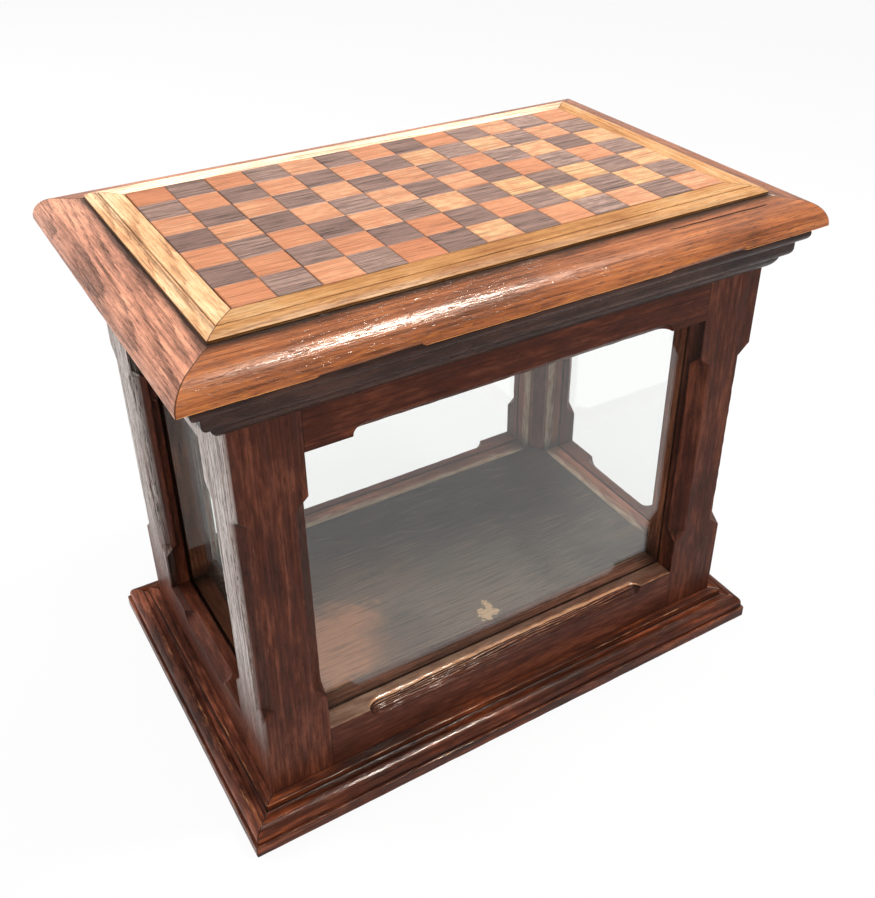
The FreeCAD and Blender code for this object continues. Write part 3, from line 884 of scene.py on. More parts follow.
def square_block(column, row, draw):
    """Vertices, faces and numbers of one square."""
    low_x = -field_x + column * square_side + joint + open_joints.get(column, 0)
    high_x = -field_x + (column + 1) * square_side - joint
    if column == 0:
        low_x += corner_joint if row in (0, rows - 1) else edge_joint
    low_y = -field_y + row * square_side + joint + draw.uniform(0, joint_spread)
    high_y = low_y + square_side - 2 * joint - draw.uniform(0, joint_spread)
    top = board_top - draw.uniform(0, height_spread)
    angle = draw.uniform(-turn_spread, turn_spread)
    middle = Vector(((low_x + high_x) / 2, (low_y + high_y) / 2))
    half = Vector(((high_x - low_x) / 2 - turn_room, (high_y - low_y) / 2 - turn_room))
    shift = Vector((draw.uniform(0, 900), draw.uniform(-40, 40), draw.uniform(-40, 40)))
    places, grain, wear = [], [], []
    for inset, level, rubbed in ((0, lid_seat, 0), (0, top - square_arris, 0.6), (square_arris, top, 0.8),
                                 (square_band, top, 0)):
        for way_x, way_y in ((-1, -1), (1, -1), (1, 1), (-1, 1)):
            x, y = way_x * (half.x - inset), way_y * (half.y - inset)
            places.append((middle.x + x - angle * y, middle.y + y + angle * x, level))
            grain.append(Vector(places[-1]) + shift)
            wear.append(rubbed)
    faces = [(3, 2, 1, 0), (12, 13, 14, 15)]
    for level in range(3):
        for index in range(4):
            after = (index + 1) % 4
            faces.append((4 * level + index, 4 * level + after, 4 * level + 4 + after, 4 * level + 4 + index))
    return places, grain, wear, faces


def make_squares(wood, parity):
    draw = random.Random(40 + parity)
    places, grain, wear, tone, faces = [], [], [], [], []
    for column in range(columns):
        for row in range(rows):
            if (column + row) % 2 != parity:
                continue
            more_places, more_grain, more_wear, more_faces = square_block(column, row, draw)
            start = len(places)
            places += more_places
            grain += more_grain
            wear += more_wear
            # a random tone, rising towards the right: that rise is a painted sheen
            plank_tone_and_sheen = draw.uniform(0.0, 0.55) + 0.3 * column / columns
            tone += [yellow_squares.get((column, row), plank_tone_and_sheen)] * len(more_places)
            faces += [tuple(start + index for index in face) for face in more_faces]
    piece = wood_mesh(f"parquetry_{wood}_laid", places, faces, grain, {"wear": wear, "tone": tone})
    stand_for(piece, f"parquetry_{wood}")
    print(wood, "squares", len(places) // 16)


make_squares("light", 0)
make_squares("dark", 1)

# %% [markdown]
# ## Materials
# All colours are written as sRGB hex values, the way they look on a screen, and one function turns
# them into the linear numbers that Blender works in. Another small function adds any kind of node
# with its settings and its links, so a material reads as a list of what feeds what.

# %% Helpers for materials
def linear(hex_colour):
    """An sRGB hex colour as linear red, green, blue and alpha."""
    channels = [int(hex_colour[index:index + 2], 16) / 255 for index in (1, 3, 5)]
    return [c / 12.92 if c <= 0.04045 else ((c + 0.055) / 1.055) ** 2.4 for c in channels] + [1.0]


def add(tree, kind, inputs=(), output=0, stops=(), **settings):
    """Add a node with its settings and links, and give one of its outputs.

    inputs is a list in the order of the sockets, or a dict by name. Each is a link, a hex colour or a
    plain value. stops are the places and colours of a ramp.
    """
    node = tree.nodes.new("ShaderNode" + kind)
    for name, value in settings.items():
        setattr(node, name, value)
    for socket, value in inputs.items() if isinstance(inputs, dict) else enumerate(inputs):
        if isinstance(value, bpy.types.NodeSocket):
            tree.links.new(value, node.inputs[socket])
        else:
            node.inputs[socket].default_value = linear(value) if isinstance(value, str) else value
    for index, (place, colour) in enumerate(stops):
        elements = node.color_ramp.elements
        stop = elements[index] if index < 2 else elements.new(place)
        stop.position = place
        stop.color = linear(colour) if isinstance(colour, str) else (colour, colour, colour, 1)
    return node.outputs[output] if output is not None else node


def new_tree(name):
    """An empty material, and the one function above tied to its tree."""
    material = bpy.data.materials.new(name)
    material.use_nodes = True
    material.node_tree.nodes.clear()
    return material, partial(add, material.node_tree)


print("linear of #808080", round(linear("#808080")[0], 4))

# %% [markdown]
# Oak is ring-porous: every year it lays down a band of open pores and then a band of dense wood.
# On a face that cuts the rings flat the bands draw long arches with ragged edges, and on one that
# cuts them square they draw straight streaks. A Wave texture would draw bands too, but with even
# edges. So here the distance from the pith is worked out, its part within each year picks out the
# porous band, and in that band a noise stretched along the grain opens more pores. All numbers
# are per millimetre, because the grain place is kept in millimetres. Real pores are about 0.3 mm
# wide, too fine for this picture, so they are drawn half as wide again.

# %% Growth rings and pores
ring_spacing = 3.2
pith_lean = (0.022, 0.03)
# how far the rings wander, how ragged they are, and how much and how slowly good and bad years differ
ring_wobble, ring_ragged, ring_change = 5.0, 2.2, 7.0
season_length = 9.0
pore_width = 0.5
pore_length = 7.0


def along_grain(node, place, length, width, detail=2.0, roughness=0.55):
    """Noise whose blotches are length millimetres along the grain and width across it."""
    stretched = node("Mapping", {"Vector": place, "Scale": (1 / length, 1 / width, 1 / width)})
    return node("TexNoise", {"Vector": stretched, "Scale": 1.0, "Detail": detail, "Roughness": roughness}, "Fac")


def growth_rings(node, place):
    """How far each point lies into the porous band of its year: 1 in the pores, 0 in dense wood."""
    along, *sideways = [node("SeparateXYZ", [place], side) for side in range(3)]
    across = [node("Math", [along, lean, part], operation="MULTIPLY_ADD")
              for lean, part in zip(pith_lean, sideways)]
    from_pith = node("VectorMath", [node("CombineXYZ", {1: across[0], 2: across[1]})], "Value", operation="LENGTH")
    seasons = node("TexNoise", {"W": node("Math", [from_pith, season_length], operation="DIVIDE"), "Scale": 1.0,
                                "Detail": 1.0}, "Fac", noise_dimensions="1D")
    year = from_pith
    for pattern, size in ((along_grain(node, place, 150, 24), ring_wobble),
                          (along_grain(node, place, 20, 0.8, 2.0, 0.7), ring_ragged), (seasons, ring_change)):
        year = node("Math", [pattern, size, year], operation="MULTIPLY_ADD")
    part = node("Math", [node("Math", [year, ring_spacing], operation="DIVIDE")], operation="FRACT")
    return node("ValToRGB", [part], stops=[(0.0, 1.0), (0.25, 0.55), (0.5, 0.08), (0.95, 0.0), (1.0, 1.0)])


print("one ring every", ring_spacing, "mm")

# %% [markdown]
# One recipe serves all the oak of the piece, with other numbers for each part. Its colour is built
# in the order of a real finish: first the wood and its growth rings, then the open pores, then the
# arrises where hands have rubbed the stain away, and last the dirt and painted shade in corners,
# joints and grooves.
# The edge of a mask is always broken up by a noise along the grain, or it would look sprayed on.

# %% Oak
# the patterns of the wood: length and width in millimetres, how many finer steps, and how strong these are
oak_patterns = {"broad": (110, 6, 3.0), "fine": (45, 1.2, 3.0, 0.6), "slow": (80, 40),
                "patchy": (16, 3.5, 3.0, 0.6), "broken": (12, 1.6, 3.0, 0.65), "lines": (50, 1.0, 3.0, 0.6),
                "ribs": (30, 0.7, 2.0, 0.6), "pits": (pore_length, pore_width, 1.0)}


def oak(name, face, pore_colour, worn, roughness, figure=0.3, fine_share=0.4, streaks=0.4, pore_share=0.6,
        worn_share=0.7, dirt_and_shade_colour=None, shine=0.3, polish=0.0, burnish=0.0, polish_roughness=0.2, relief=0.25,
        marks=None, by_place=False):
    """Oak: face gives its light, middle and dark colours, and worn its colours where it's rubbed."""
    material, node = new_tree(name)
    if by_place:
        grain = node("VectorMath", {0: node("TexCoord", output="Object"), "Scale": 1 / mm}, operation="SCALE")
    else:
        grain = node("Attribute", output="Vector", attribute_name="grain")
    wear, seam, tone = [node("Attribute", output="Fac", attribute_name=title)
                        for title in ("wear", "seam", "tone")]
    wood = {title: along_grain(node, grain, *sizes) for title, sizes in oak_patterns.items()}
    brightness = node("Math", [tone, 1.0], operation="ADD")
    porous = node("Math", [growth_rings(node, grain), brightness], operation="MULTIPLY")

    # the wood: broad streaks, fine streaks and slow clouds, darker in the porous bands. A board of
    # higher tone is both paler and greyer; on some boards that tone is a painted sheen
    level = -0.4
    for pattern, part in ((wood["broad"], 0.45), (wood["fine"], fine_share), (wood["patchy"], 0.75 - fine_share),
                          (wood["slow"], 0.6), (porous, figure * 0.5)):
        level = node("Math", [pattern, part, level], operation="MULTIPLY_ADD")
    colour = node("ValToRGB", [level], stops=[(0.34, face[0]), (0.5, face[1]), (0.7, face[2])])
    strength = node("Math", [tone, -0.28, 1.0], operation="MULTIPLY_ADD")
    colour = node("HueSaturation", {"Color": colour, "Saturation": strength, "Value": brightness})

    # the worn arrises, broken up along the grain
    ragged = node("Math", [wood["broken"], 0.5], operation="SUBTRACT")
    rubbed = node("Math", [wear, 0.8, ragged], operation="MULTIPLY_ADD")
    bare = node("ValToRGB", [rubbed], stops=[(0.3, worn[0]), (0.75, worn[1])])
    rubbed = node("ValToRGB", [rubbed], stops=[(0.3, 0.0), (0.6, worn_share)])
    layers = [(rubbed, bare)]

    # long dark streaks, and the pores: short dark pits, more of them in the porous bands
    dark_lines = node("Math", [porous, 0.1, wood["lines"]], operation="MULTIPLY_ADD")
    dark_lines = node("ValToRGB", [dark_lines], stops=[(0.56, 0.0), (0.72, streaks)])
    pits = node("Math", [porous, 0.17 * min(1, figure * 2), wood["pits"]], operation="MULTIPLY_ADD")
    pits = node("ValToRGB", [pits], stops=[(0.6, 0.0), (0.72, 1.0)])
    share = node("Math", [node("Math", [pits, pore_share], operation="MULTIPLY"), dark_lines], operation="MAXIMUM")
    if marks:
        more_layers, share = marks(node, grain, pits, share)
        layers += more_layers
    layers.append((share, pore_colour))

    # painted shade in corners, from ambient occlusion; dark joints; and dirt and painted shade where the wear is
    # written below 0
    corner = node("AmbientOcclusion", {"Distance": 2 * mm}, "AO", samples=4)
    dirt_and_shade = node("ValToRGB", [corner], stops=[(0.25, 0.85), (0.6, 0.0)])
    laid = node("Math", [wear, -1.3, ragged], operation="MULTIPLY_ADD", use_clamp=True)
    laid = node("Math", [laid, node("Math", [wear, 0], operation="LESS_THAN")], operation="MULTIPLY")
    for mask in (laid, seam):
        dirt_and_shade = node("Math", [dirt_and_shade, node("Math", [mask, 0.9], operation="MULTIPLY")], operation="MAXIMUM")
    layers.append((dirt_and_shade, dirt_and_shade_colour or pore_colour))
    for mask, over in layers:
        colour = node("Mix", {0: mask, 6: colour, 7: over}, 2, data_type="RGBA")

    # the surface: ribs that the plane left along the grain, and pits without polish
    height = node("Math", [wood["ribs"], 0.7, node("Math", [wood["fine"], 0.6], operation="MULTIPLY")],
                  operation="MULTIPLY_ADD")
    height = node("Math", [pits, -0.6, height], operation="MULTIPLY_ADD")
    bump = node("Bump", {"Strength": 0.6, "Distance": relief * mm, "Height": height})
    gloss = node("Math", [wood["slow"], 0.3, roughness - 0.15], operation="MULTIPLY_ADD")
    gloss = node("Math", [pits, 0.35, gloss], operation="MULTIPLY_ADD", use_clamp=True)
    coat = node("MapRange", {"Value": wood["fine"], "From Min": 0.38, "From Max": 0.56, "To Min": polish,
                             "To Max": polish * 0.3})
    coat = node("Math", [rubbed, burnish, coat], operation="MULTIPLY_ADD")
    clean = node("MapRange", {"Value": dirt_and_shade, "To Min": 1.0, "To Max": 0.15})
    coat = node("Math", [coat, clean], operation="MULTIPLY")
    shader = node("BsdfPrincipled", {"Base Color": colour, "Roughness": gloss, "Normal": bump, "IOR": 1.5,
                                     "Specular IOR Level": shine, "Coat Weight": coat if polish else 0.0,
                                     "Coat Roughness": polish_roughness, "Coat Normal": bump})
    node("OutputMaterial", [shader], None)
    return material


print("patterns of the oak", *oak_patterns)

# %% [markdown]
# The posts and rails are oak that was fumed and waxed until it was nearly black in the pores. The
# two faces of the left posts are painted a greyish pink, with their pores still black: a painted
# sheen. It's drawn by place: a mask that comes in over the last millimetres on the left, and goes
# out towards the foot, where the case is left dark. Pale dust lies on the ledge under the front
# window, and is drawn by place too.

# %% The case
# the heights between which the painted sheen comes in, how far in from the left it starts and ends, and how
# much deeper it reaches on the back post
sheen_low, sheen_high = 55, 135
sheen_start, sheen_end, sheen_behind = 2.6, 0.4, 3.5
# the dust: two places along the ledge, and its share at each
dust_left, dust_right = (-100, 0.8), (60, 0.3)


def dust_and_painted_sheen(node, grain, pits, share):
    """Layers of dust on the front ledge and of painted sheen on the left faces, and the open pores."""
    spot = node("TexCoord", output="Object")
    across, depth, height = [node("SeparateXYZ", [spot], side) for side in range(3)]
    facing = node("SeparateXYZ", [node("NewGeometry", output="Normal")], 2)
    ledge = node("MapRange", {"Value": facing, "From Min": 0.93, "From Max": 0.99})
    lying = node("MapRange", {"Value": across, "From Min": dust_left[0] * mm, "From Max": dust_right[0] * mm,
                              "To Min": dust_left[1], "To Max": dust_right[1]})
    for mask in (node("Math", [depth, -window_y * mm], operation="LESS_THAN"),
                 node("Math", [height, sight_top * mm], operation="LESS_THAN"), lying):
        ledge = node("Math", [ledge, mask], operation="MULTIPLY")
    dust = node("ValToRGB", [along_grain(node, grain, 22, 6, 3.0)], stops=[(0.35, "#7d5a48"), (0.6, "#a3826c")])

    behind = node("Math", [depth, 0], operation="GREATER_THAN")
    across = node("Math", [behind, -sheen_behind * mm, across], operation="MULTIPLY_ADD")
    left = node("MapRange", {"Value": across, "From Min": -(case_x - sheen_start) * mm,
                             "From Max": -(case_x - sheen_end) * mm})
    up = node("MapRange", {"Value": height, "From Min": sheen_low * mm, "From Max": sheen_high * mm})
    painted_sheen = node("Math", [left, up], operation="MULTIPLY")
    tint = node("ValToRGB", [along_grain(node, grain, 60, 2.0, 3.0)],
                stops=[(0.36, "#d0c5c0"), (0.52, "#b1a29b"), (0.68, "#836e65")])
    cracks = node("ValToRGB", [along_grain(node, grain, 24, 0.8, 2.0, 0.6)], stops=[(0.56, 0.0), (0.63, 0.95)])
    open_pores = node("Math", [node("Math", [cracks, pits], operation="MAXIMUM"), painted_sheen], operation="MULTIPLY")
    return [(ledge, dust), (painted_sheen, tint)], node("Math", [share, open_pores], operation="MAXIMUM")


case_oak = oak("fumed_oak_waxed", ("#6d3a26", "#4f2618", "#381b11"), "#170d0a", ("#a2582e", "#e8ac7c"), 0.42,
               figure=0.08, fine_share=0.2, streaks=0.3, pore_share=0.5, worn_share=0.8, shine=0.07, polish=0.16,
               burnish=0.8, polish_roughness=0.14, relief=0.15, marks=dust_and_painted_sheen)
# The cornice is drawn darker than the case: a painted shadow of the lid.
cornice_oak = oak("fumed_oak_in_shadow", ("#4a2e24", "#362019", "#1e100c"), "#0e0807", ("#5a3d30", "#9b7866"), 0.3,
                  figure=0.1, fine_share=0.2, pore_share=0.4, shine=0.15, polish=0.1, polish_roughness=0.2)
print("case and cornice", case_oak.name, cornice_oak.name)

# %% [markdown]
# The base and the lid are touched most, so their finish is thicker and glossier. Shellac has an
# index of about 1.5, like wax, and lies on the wood as a thin clear coat. Its highlight breaks up
# over the grain, so the coat gets the same bumps as the wood.

# %% The base, the lid and the border
base_oak = oak("brown_oak_waxed", ("#8a4526", "#562816", "#2d140c"), "#150b08", ("#94501f", "#f0b07c"), 0.34,
               figure=0.16, fine_share=0.25, streaks=0.3, pore_share=0.45, worn_share=0.8, shine=0.06, polish=0.22,
               burnish=0.8, polish_roughness=0.09, relief=0.25)
lid_oak = oak("brown_oak_polished", ("#d08252", "#a86440", "#6c3e26"), "#24120a", ("#a04a18", "#f09a40"), 0.36,
              figure=0.15, fine_share=0.5, streaks=0.5, pore_share=0.6, worn_share=0.9, dirt_and_shade_colour="#2e2420",
              shine=0.1, polish=0.34, burnish=0.3, polish_roughness=0.12, relief=0.34)
border_oak = oak("pale_oak_worn", ("#f6c694", "#e6aa72", "#ba7e50"), "#6b3c20", ("#f0b880", "#fcdcac"), 0.5,
                 figure=0.16, streaks=0.5, pore_share=0.5, dirt_and_shade_colour="#2e150b", shine=0.1)
print("base, lid and border", base_oak.name, lid_oak.name, border_oak.name)

# %% [markdown]
# The squares are of two finer woods than oak, with no large pores: a pinkish tan one and a
# grey-brown one with fine dark lines. They were scraped flat by hand, so their surface is a little
# uneven. Each square has its own tone, which the mesh keeps.

# %% Woods of the squares
def square_wood(name, planks, line_colour, lines, mottle, roughness, shine):
    """A fine wood. planks gives its colours from the darkest board to the odd pale one."""
    material, node = new_tree(name)
    grain = node("Attribute", output="Vector", attribute_name="grain")
    tone, wear = [node("Attribute", output="Fac", attribute_name=title) for title in ("tone", "wear")]
    colour = node("ValToRGB", [tone], stops=list(zip((0.0, 0.35, 0.7, 0.95), planks)))
    fine = along_grain(node, grain, 26, 0.8, 3.0, 0.65)
    bands = node("Math", [along_grain(node, grain, 60, 3.5), 0.35], operation="MULTIPLY")
    level = node("Math", [fine, 0.65, bands], operation="MULTIPLY_ADD")
    dark_lines = node("ValToRGB", [level], stops=[(0.45, 0.0), (0.6, lines)])
    blotches = along_grain(node, grain, 8, 5, 3.0, 0.6)
    blotches = node("ValToRGB", [blotches], stops=[(0.38, mottle), (0.56, 0.0)])
    # darker in the joints, a painted shade from ambient occlusion, and on the rubbed edges, dirt
    corner = node("AmbientOcclusion", {"Distance": 1.2 * mm}, "AO", samples=4)
    dirt_and_shade = node("ValToRGB", [corner], stops=[(0.35, 0.9), (0.7, 0.0)])
    dirt_and_shade = node("Math", [dirt_and_shade, node("Math", [wear, 0.3], operation="MULTIPLY")], operation="MAXIMUM")
    for mask, over in ((dark_lines, line_colour), (blotches, planks[0]), (dirt_and_shade, line_colour)):
        colour = node("Mix", {0: mask, 6: colour, 7: over}, 2, data_type="RGBA")
    bump = node("Bump", {"Strength": 0.4, "Distance": 0.15 * mm, "Height": fine})
    shader = node("BsdfPrincipled", {"Base Color": colour, "Roughness": roughness, "Normal": bump, "IOR": 1.5,
                                     "Specular IOR Level": shine})
    node("OutputMaterial", [shader], None)
    return material


light_wood = square_wood("pinkish_tan_wood_scraped", ("#cc8058", "#e09c72", "#ecb288", "#f0c48c"), "#84482a",
                         0.7, 0.6, 0.42, 0.12)
dark_wood = square_wood("grey_brown_wood_scraped", ("#84645a", "#9e7c6e", "#ba9787", "#c8a494"), "#36241c",
                        0.95, 0.6, 0.5, 0.2)
print("square woods", light_wood.name, dark_wood.name)

# %% [markdown]
# Glass: window glass has an index of about 1.5. It's a closed pane, so light bends in and out of
# it. A path tracer would leave the case dark behind it, because a lamp can't be aimed at through
# a bending surface, so shadow rays pass the pane straight. The left pane is seen at a low angle,
# where clean glass would mirror the white floor. On the real one a dull film keeps it from that, so
# a share of this pane lets light pass and mirrors nothing.

# %% Glass
def any_ray(node, *kinds):
    """1 for rays of these kinds, and 0 for all others."""
    mask = 0.0
    for kind in kinds:
        mask = node("Math", [mask, node("LightPath", output=f"Is {kind} Ray")], operation="MAXIMUM")
    return mask


def window_glass(name, film):
    """A clear pane. film is the share of it that mirrors nothing."""
    material, node = new_tree(name)
    bent = node("BsdfPrincipled", {"Base Color": "#fdfefd", "Roughness": 0.0, "IOR": 1.46,
                                   "Transmission Weight": 1.0})
    straight = node("BsdfTransparent", ["#fafcfa"])
    aside = node("Math", [any_ray(node, "Shadow", "Diffuse"), film], operation="MAXIMUM")
    node("OutputMaterial", [node("MixShader", [aside, bent, straight])], None)
    return material


glass = window_glass("drawn_sheet_glass", 0.0)
dull_glass = window_glass("drawn_sheet_glass_with_a_film", 0.93)
print("glass", glass.name, dull_glass.name)

# %% [markdown]
# The floor inside is a thin board whose finish has gone dull and nearly black. Towards the back
# it's drawn darker still, a painted shade. It's rubbed pink at the front on the left, where things
# were set down, and near the middle a patch of the finish has come off. Such marks lie at fixed
# places, so they are drawn as blots: the distance from a place, with a noise added so that the
# edge is ragged.

# %% Floor board
def blot(node, place, centre, size, ragged, soft, squeeze):
    """A mask round a place, in millimetres: its size, how ragged its edge is and how soft."""
    squeezed = node("Mapping", {"Vector": place, "Scale": squeeze})
    middle = [part * scale for part, scale in zip(centre, squeeze)]
    away = node("VectorMath", [squeezed, middle], "Value", operation="DISTANCE")
    edge = node("TexNoise", {"Vector": place, "Scale": 1.6 / size, "Detail": 4.0}, "Fac")
    away = node("Math", [edge, ragged, away], operation="MULTIPLY_ADD")
    outer = size + ragged / 2
    return node("MapRange", {"Value": away, "From Min": outer + soft, "From Max": outer - soft})


# each mark over the ones before it: place, size, raggedness, softness, squeeze, share and colour. The
# last three are the patch where the finish has come off
board_marks = [((-60, -60), 110, 90, 50, (1, 1.5, 1), 0.9, "#8d6248"),
               ((0, -45), 62, 90, 40, (0.6, 1.2, 1), 0.85, "#7d7163"),
               # two dark marks at the back: painted shade
               ((120, 60), 90, 60, 50, (0.6, 1, 1), 0.85, "#0d0a09"),
               ((-60, 70), 60, 60, 40, (0.5, 1, 1), 0.6, "#15100e"),
               ((-108, -46), 34, 40, 10, (1, 1, 1), 0.8, "#c98a66"),
               ((-84, -28), 10, 30, 5, (0.6, 1, 1), 0.6, "#c08460"),
               ((-60, -62), 22, 24, 8, (0.8, 0.8, 1), 0.5, "#5c5048"),
               ((-1, -75), 5.0, 14, 0.5, (1.2, 0.8, 1), 0.95, "#e4bc94"),
               ((5, -69), 3.2, 9, 0.5, (1.3, 0.45, 1), 0.95, "#e4bc94"),
               ((5, -76), 3.0, 9, 0.5, (0.5, 1.2, 1), 0.95, "#e4bc94")]
scratch_angle = 24


def dull_board():
    material, node = new_tree("dull_stained_board")
    place = node("VectorMath", {0: node("TexCoord", output="Object"), "Scale": 1 / mm}, operation="SCALE")
    fine = along_grain(node, place, 40, 1.4, 4.0, 0.65)
    cloud = along_grain(node, place, 40, 22, 4.0, 0.6)
    colour = node("ValToRGB", [cloud], stops=[(0.38, "#191412"), (0.5, "#2b231e"), (0.64, "#45372c")])
    layers = []
    for spot, size, ragged, soft, squeeze, share, tint in board_marks:
        mask = blot(node, place, (*spot, floor_top), size, ragged, soft, squeeze)
        layers.append((node("Math", [mask, share], operation="MULTIPLY"), tint))
    # over the marks: streaks of the grain, scratches a little across it, and small dark specks
    turned = node("Mapping", {"Vector": place, "Rotation": (0, 0, math.radians(scratch_angle))})
    scratches = along_grain(node, turned, 30, 1.0, 3.0, 0.6)
    specks = along_grain(node, place, 5, 3, 3.0)
    for pattern, low, high, share, tint in ((fine, 0.5, 0.66, 0.6, "#140e0b"), (fine, 0.46, 0.3, 0.35, "#a07a5c"),
                                            (scratches, 0.64, 0.7, 0.3, "#9a8a7c"),
                                            (specks, 0.72, 0.78, 0.7, "#120c0a")):
        mask = node("MapRange", {"Value": pattern, "From Min": low, "From Max": high, "To Max": share})
        layers.append((mask, tint))
    for mask, over in layers:
        colour = node("Mix", {0: mask, 6: colour, 7: over}, 2, data_type="RGBA")
    bump = node("Bump", {"Strength": 0.1, "Distance": 0.1 * mm, "Height": fine})
    shader = node("BsdfPrincipled", {"Base Color": colour, "Roughness": 0.5, "IOR": 1.5, "Normal": bump,
                                     "Specular IOR Level": 0.25})
    node("OutputMaterial", [shader], None)
    return material


floor_wood = dull_board()
bead_oak = oak("dry_oak_beads", ("#98624c", "#704636", "#482c22"), "#1f1510", ("#857260", "#b0a28c"), 0.55,
               figure=0.2, shine=0.06)
plain_board = oak("planed_softwood", ("#b8966c", "#a5835c", "#8a6a48"), "#6a4c30", ("#b8966c", "#c4a47c"), 0.6,
                  pore_share=0.2, by_place=True)
print("boards and beads", floor_wood.name, bead_oak.name, plain_board.name)

# %% [markdown]
# The hinges are brass that has gone brown, and the screws under the base are plain steel. Metals
# take their colour from the reflection, so they only need that colour and how rough they are.

# %% Metals
def metal(name, colour, tarnish, roughness):
    material, node = new_tree(name)
    # patches of tarnish, some 4 mm across
    patches = node("TexNoise", {"Vector": node("TexCoord", output="Object"), "Scale": 1 / (4 * mm),
                                "Detail": 3.0}, "Fac")
    share = node("ValToRGB", [patches], stops=[(0.4, 0.0), (0.65, 1.0)])
    tint = node("Mix", {0: share, 6: colour, 7: tarnish}, 2, data_type="RGBA")
    gloss = node("Math", [patches, 0.2, roughness], operation="MULTIPLY_ADD")
    shader = node("BsdfPrincipled", {"Base Color": tint, "Metallic": 1.0, "Roughness": gloss})
    node("OutputMaterial", [shader], None)
    return material


brass = metal("tarnished_brass", "#c9a25a", "#7b5a33", 0.3)
steel = metal("plain_steel", "#b4b4b2", "#6d665f", 0.35)
print("metals", brass.name, steel.name)

# %% [markdown]
# Every slot of the record gets its material, on the new pieces and on the CAD nodes that stay.

# %% Give out the materials
finishes = {"case_oak": case_oak, "cornice_oak": cornice_oak, "base_oak": base_oak, "lid_oak": lid_oak,
            "border_oak": border_oak, "light_square_wood": light_wood, "dark_square_wood": dark_wood,
            "floor_wood": floor_wood, "bead_oak": bead_oak, "plain_board": plain_board, "window_glass": glass,
            "hinge_brass": brass, "steel_screws": steel}
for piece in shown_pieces():
    slot_name = piece.get("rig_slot") or node_slot[piece["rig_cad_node"]]
    piece.data.materials.clear()
    filmed = piece.get("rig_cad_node") == "glass_left"
    piece.data.materials.append(dull_glass if filmed else finishes[slot_name])

# %% [markdown]
# ## Camera and light
# The camera stands where the photograph was taken from: its place, its direction and its lens were
# worked out from the corners of the chequered field and the case. The lens is shifted a little,
# because the picture was trimmed.

# %% Camera
camera_place = Vector((-314.5, -547.9, 602.4)) * mm
camera_way = Vector((0.4405, 0.7175, -0.5395))
camera_roll = 0.067
photo_width, photo_height = 875, 898
focal_pixels = 1063.5
middle_pixel = (457.6, 402.7)

camera_data = bpy.data.cameras.new("camera")
camera = bpy.data.objects.new("camera", camera_data)
bpy.context.scene.collection.objects.link(camera)
bpy.context.scene.camera = camera
camera.location = camera_place
turning = camera_way.to_track_quat("-Z", "Y").to_matrix().to_4x4()
camera.rotation_euler = (turning @ Matrix.Rotation(math.radians(camera_roll), 4, "Z")).to_euler()
camera_data.sensor_width = 36
camera_data.lens = focal_pixels / photo_height * camera_data.sensor_width
camera_data.shift_x = (photo_width / 2 - middle_pixel[0]) / photo_height
camera_data.shift_y = (middle_pixel[1] - photo_height / 2) / photo_height
camera_data.clip_start = 0.01
print("lens", round(camera_data.lens, 2), "shift", round(camera_data.shift_x, 4), round(camera_data.shift_y, 4))

# %% [markdown]
# The floor is white. For the camera it's mostly white by itself, so the background stays clean and
# only the object's shadow tones it. The key is a large soft lamp behind the cabinet on the left,
# as from a window, and the rest is an even pale world.

# %% Floor
white_share = 0.88


def floor_paint():
    """Plain paint that lights the piece, and nearly white where the camera, glass and polish see it."""
    material, node = new_tree("white_floor")
    seen = any_ray(node, "Camera", "Transmission", "Glossy")
    plain = node("BsdfDiffuse", ["#cbcbcb"])
    pale = node("BsdfDiffuse", ["#f9f9f9"])
    white = node("Emission", ["#ffffff", 1.0])
    backdrop = node("MixShader", [white_share, pale, white])
    node("OutputMaterial", [node("MixShader", [seen, plain, backdrop])], None)
    return material


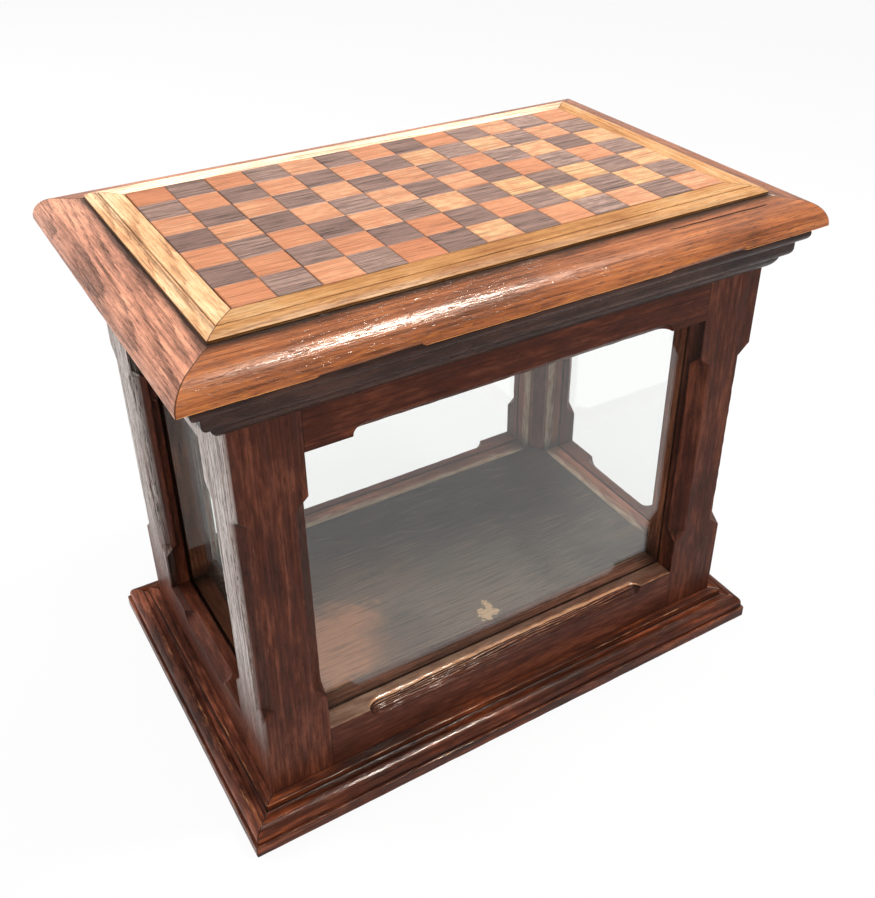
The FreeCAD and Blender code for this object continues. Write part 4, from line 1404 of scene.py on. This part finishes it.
floor_mesh = bpy.data.meshes.new("floor")
far = 6.0
floor_mesh.from_pydata([(-far, -far, 0), (far, -far, 0), (far, far, 0), (-far, far, 0)], [], [(0, 1, 2, 3)])
floor = bpy.data.objects.new("floor", floor_mesh)
bpy.context.scene.collection.objects.link(floor)
floor_mesh.materials.append(floor_paint())
print("floor", 2 * far, "m wide")

# %% Lamps
def lamp(name, place, aim, size, power, colour="#ffffff", lights=True, mirrored=True):
    """A soft rectangular lamp from place to aim, that lights the piece, shows in its polish, or both."""
    data = bpy.data.lights.new(name, "AREA")
    data.shape = "RECTANGLE"
    data.size, data.size_y = size
    data.energy = power
    data.color = linear(colour)[:3]
    light = bpy.data.objects.new(name, data)
    bpy.context.scene.collection.objects.link(light)
    light.location = place
    light.rotation_euler = (Vector(aim) - Vector(place)).to_track_quat("-Z", "Y").to_euler()
    light.visible_camera = False
    light.visible_diffuse = lights
    light.visible_glossy = mirrored
    return light


case_middle = (0, 0, 0.2)
lamps = [lamp("window_lamp", (-1.3, 1.4, 1.2), case_middle, (1.8, 1.4), 34, mirrored=False),
         lamp("ceiling_lamp", (0.62, -0.24, 1.4), case_middle, (0.34, 0.14), 11, mirrored=False),
         lamp("ceiling_strip", (0.38, -0.22, 1.4), case_middle, (0.5, 0.17), 90, "#fff4e8", lights=False),
         lamp("front_lamp", (-0.5, -1.7, 0.95), case_middle, (1.4, 1.0), 12, mirrored=False)]
print("lamps", [light.name for light in lamps])

# %% [markdown]
# The world is a white room. Its light is even. What the camera, glass and polish see of it is white
# all round, and darker overhead, as a ceiling is: without that the polish would look milky.

# %% World
world = bpy.data.worlds.new("white_room")
bpy.context.scene.world = world
world.use_nodes = True
world.node_tree.nodes.clear()
node = partial(add, world.node_tree)
seen = any_ray(node, "Camera", "Transmission", "Glossy")
upwards = node("SeparateXYZ", [node("TexCoord", output="Generated")], 2)
ceiling = node("MapRange", {"Value": upwards, "From Min": 0.36, "From Max": 0.75, "To Min": 1.0, "To Max": 0.25})
light_of_room = node("Background", ["#ffffff", 0.5])
look_of_room = node("Background", ["#ffffff", ceiling])
node("OutputWorld", [node("MixShader", [seen, light_of_room, look_of_room])], None)
bpy.context.scene.view_settings.view_transform = "Standard"
print("world", world.name)
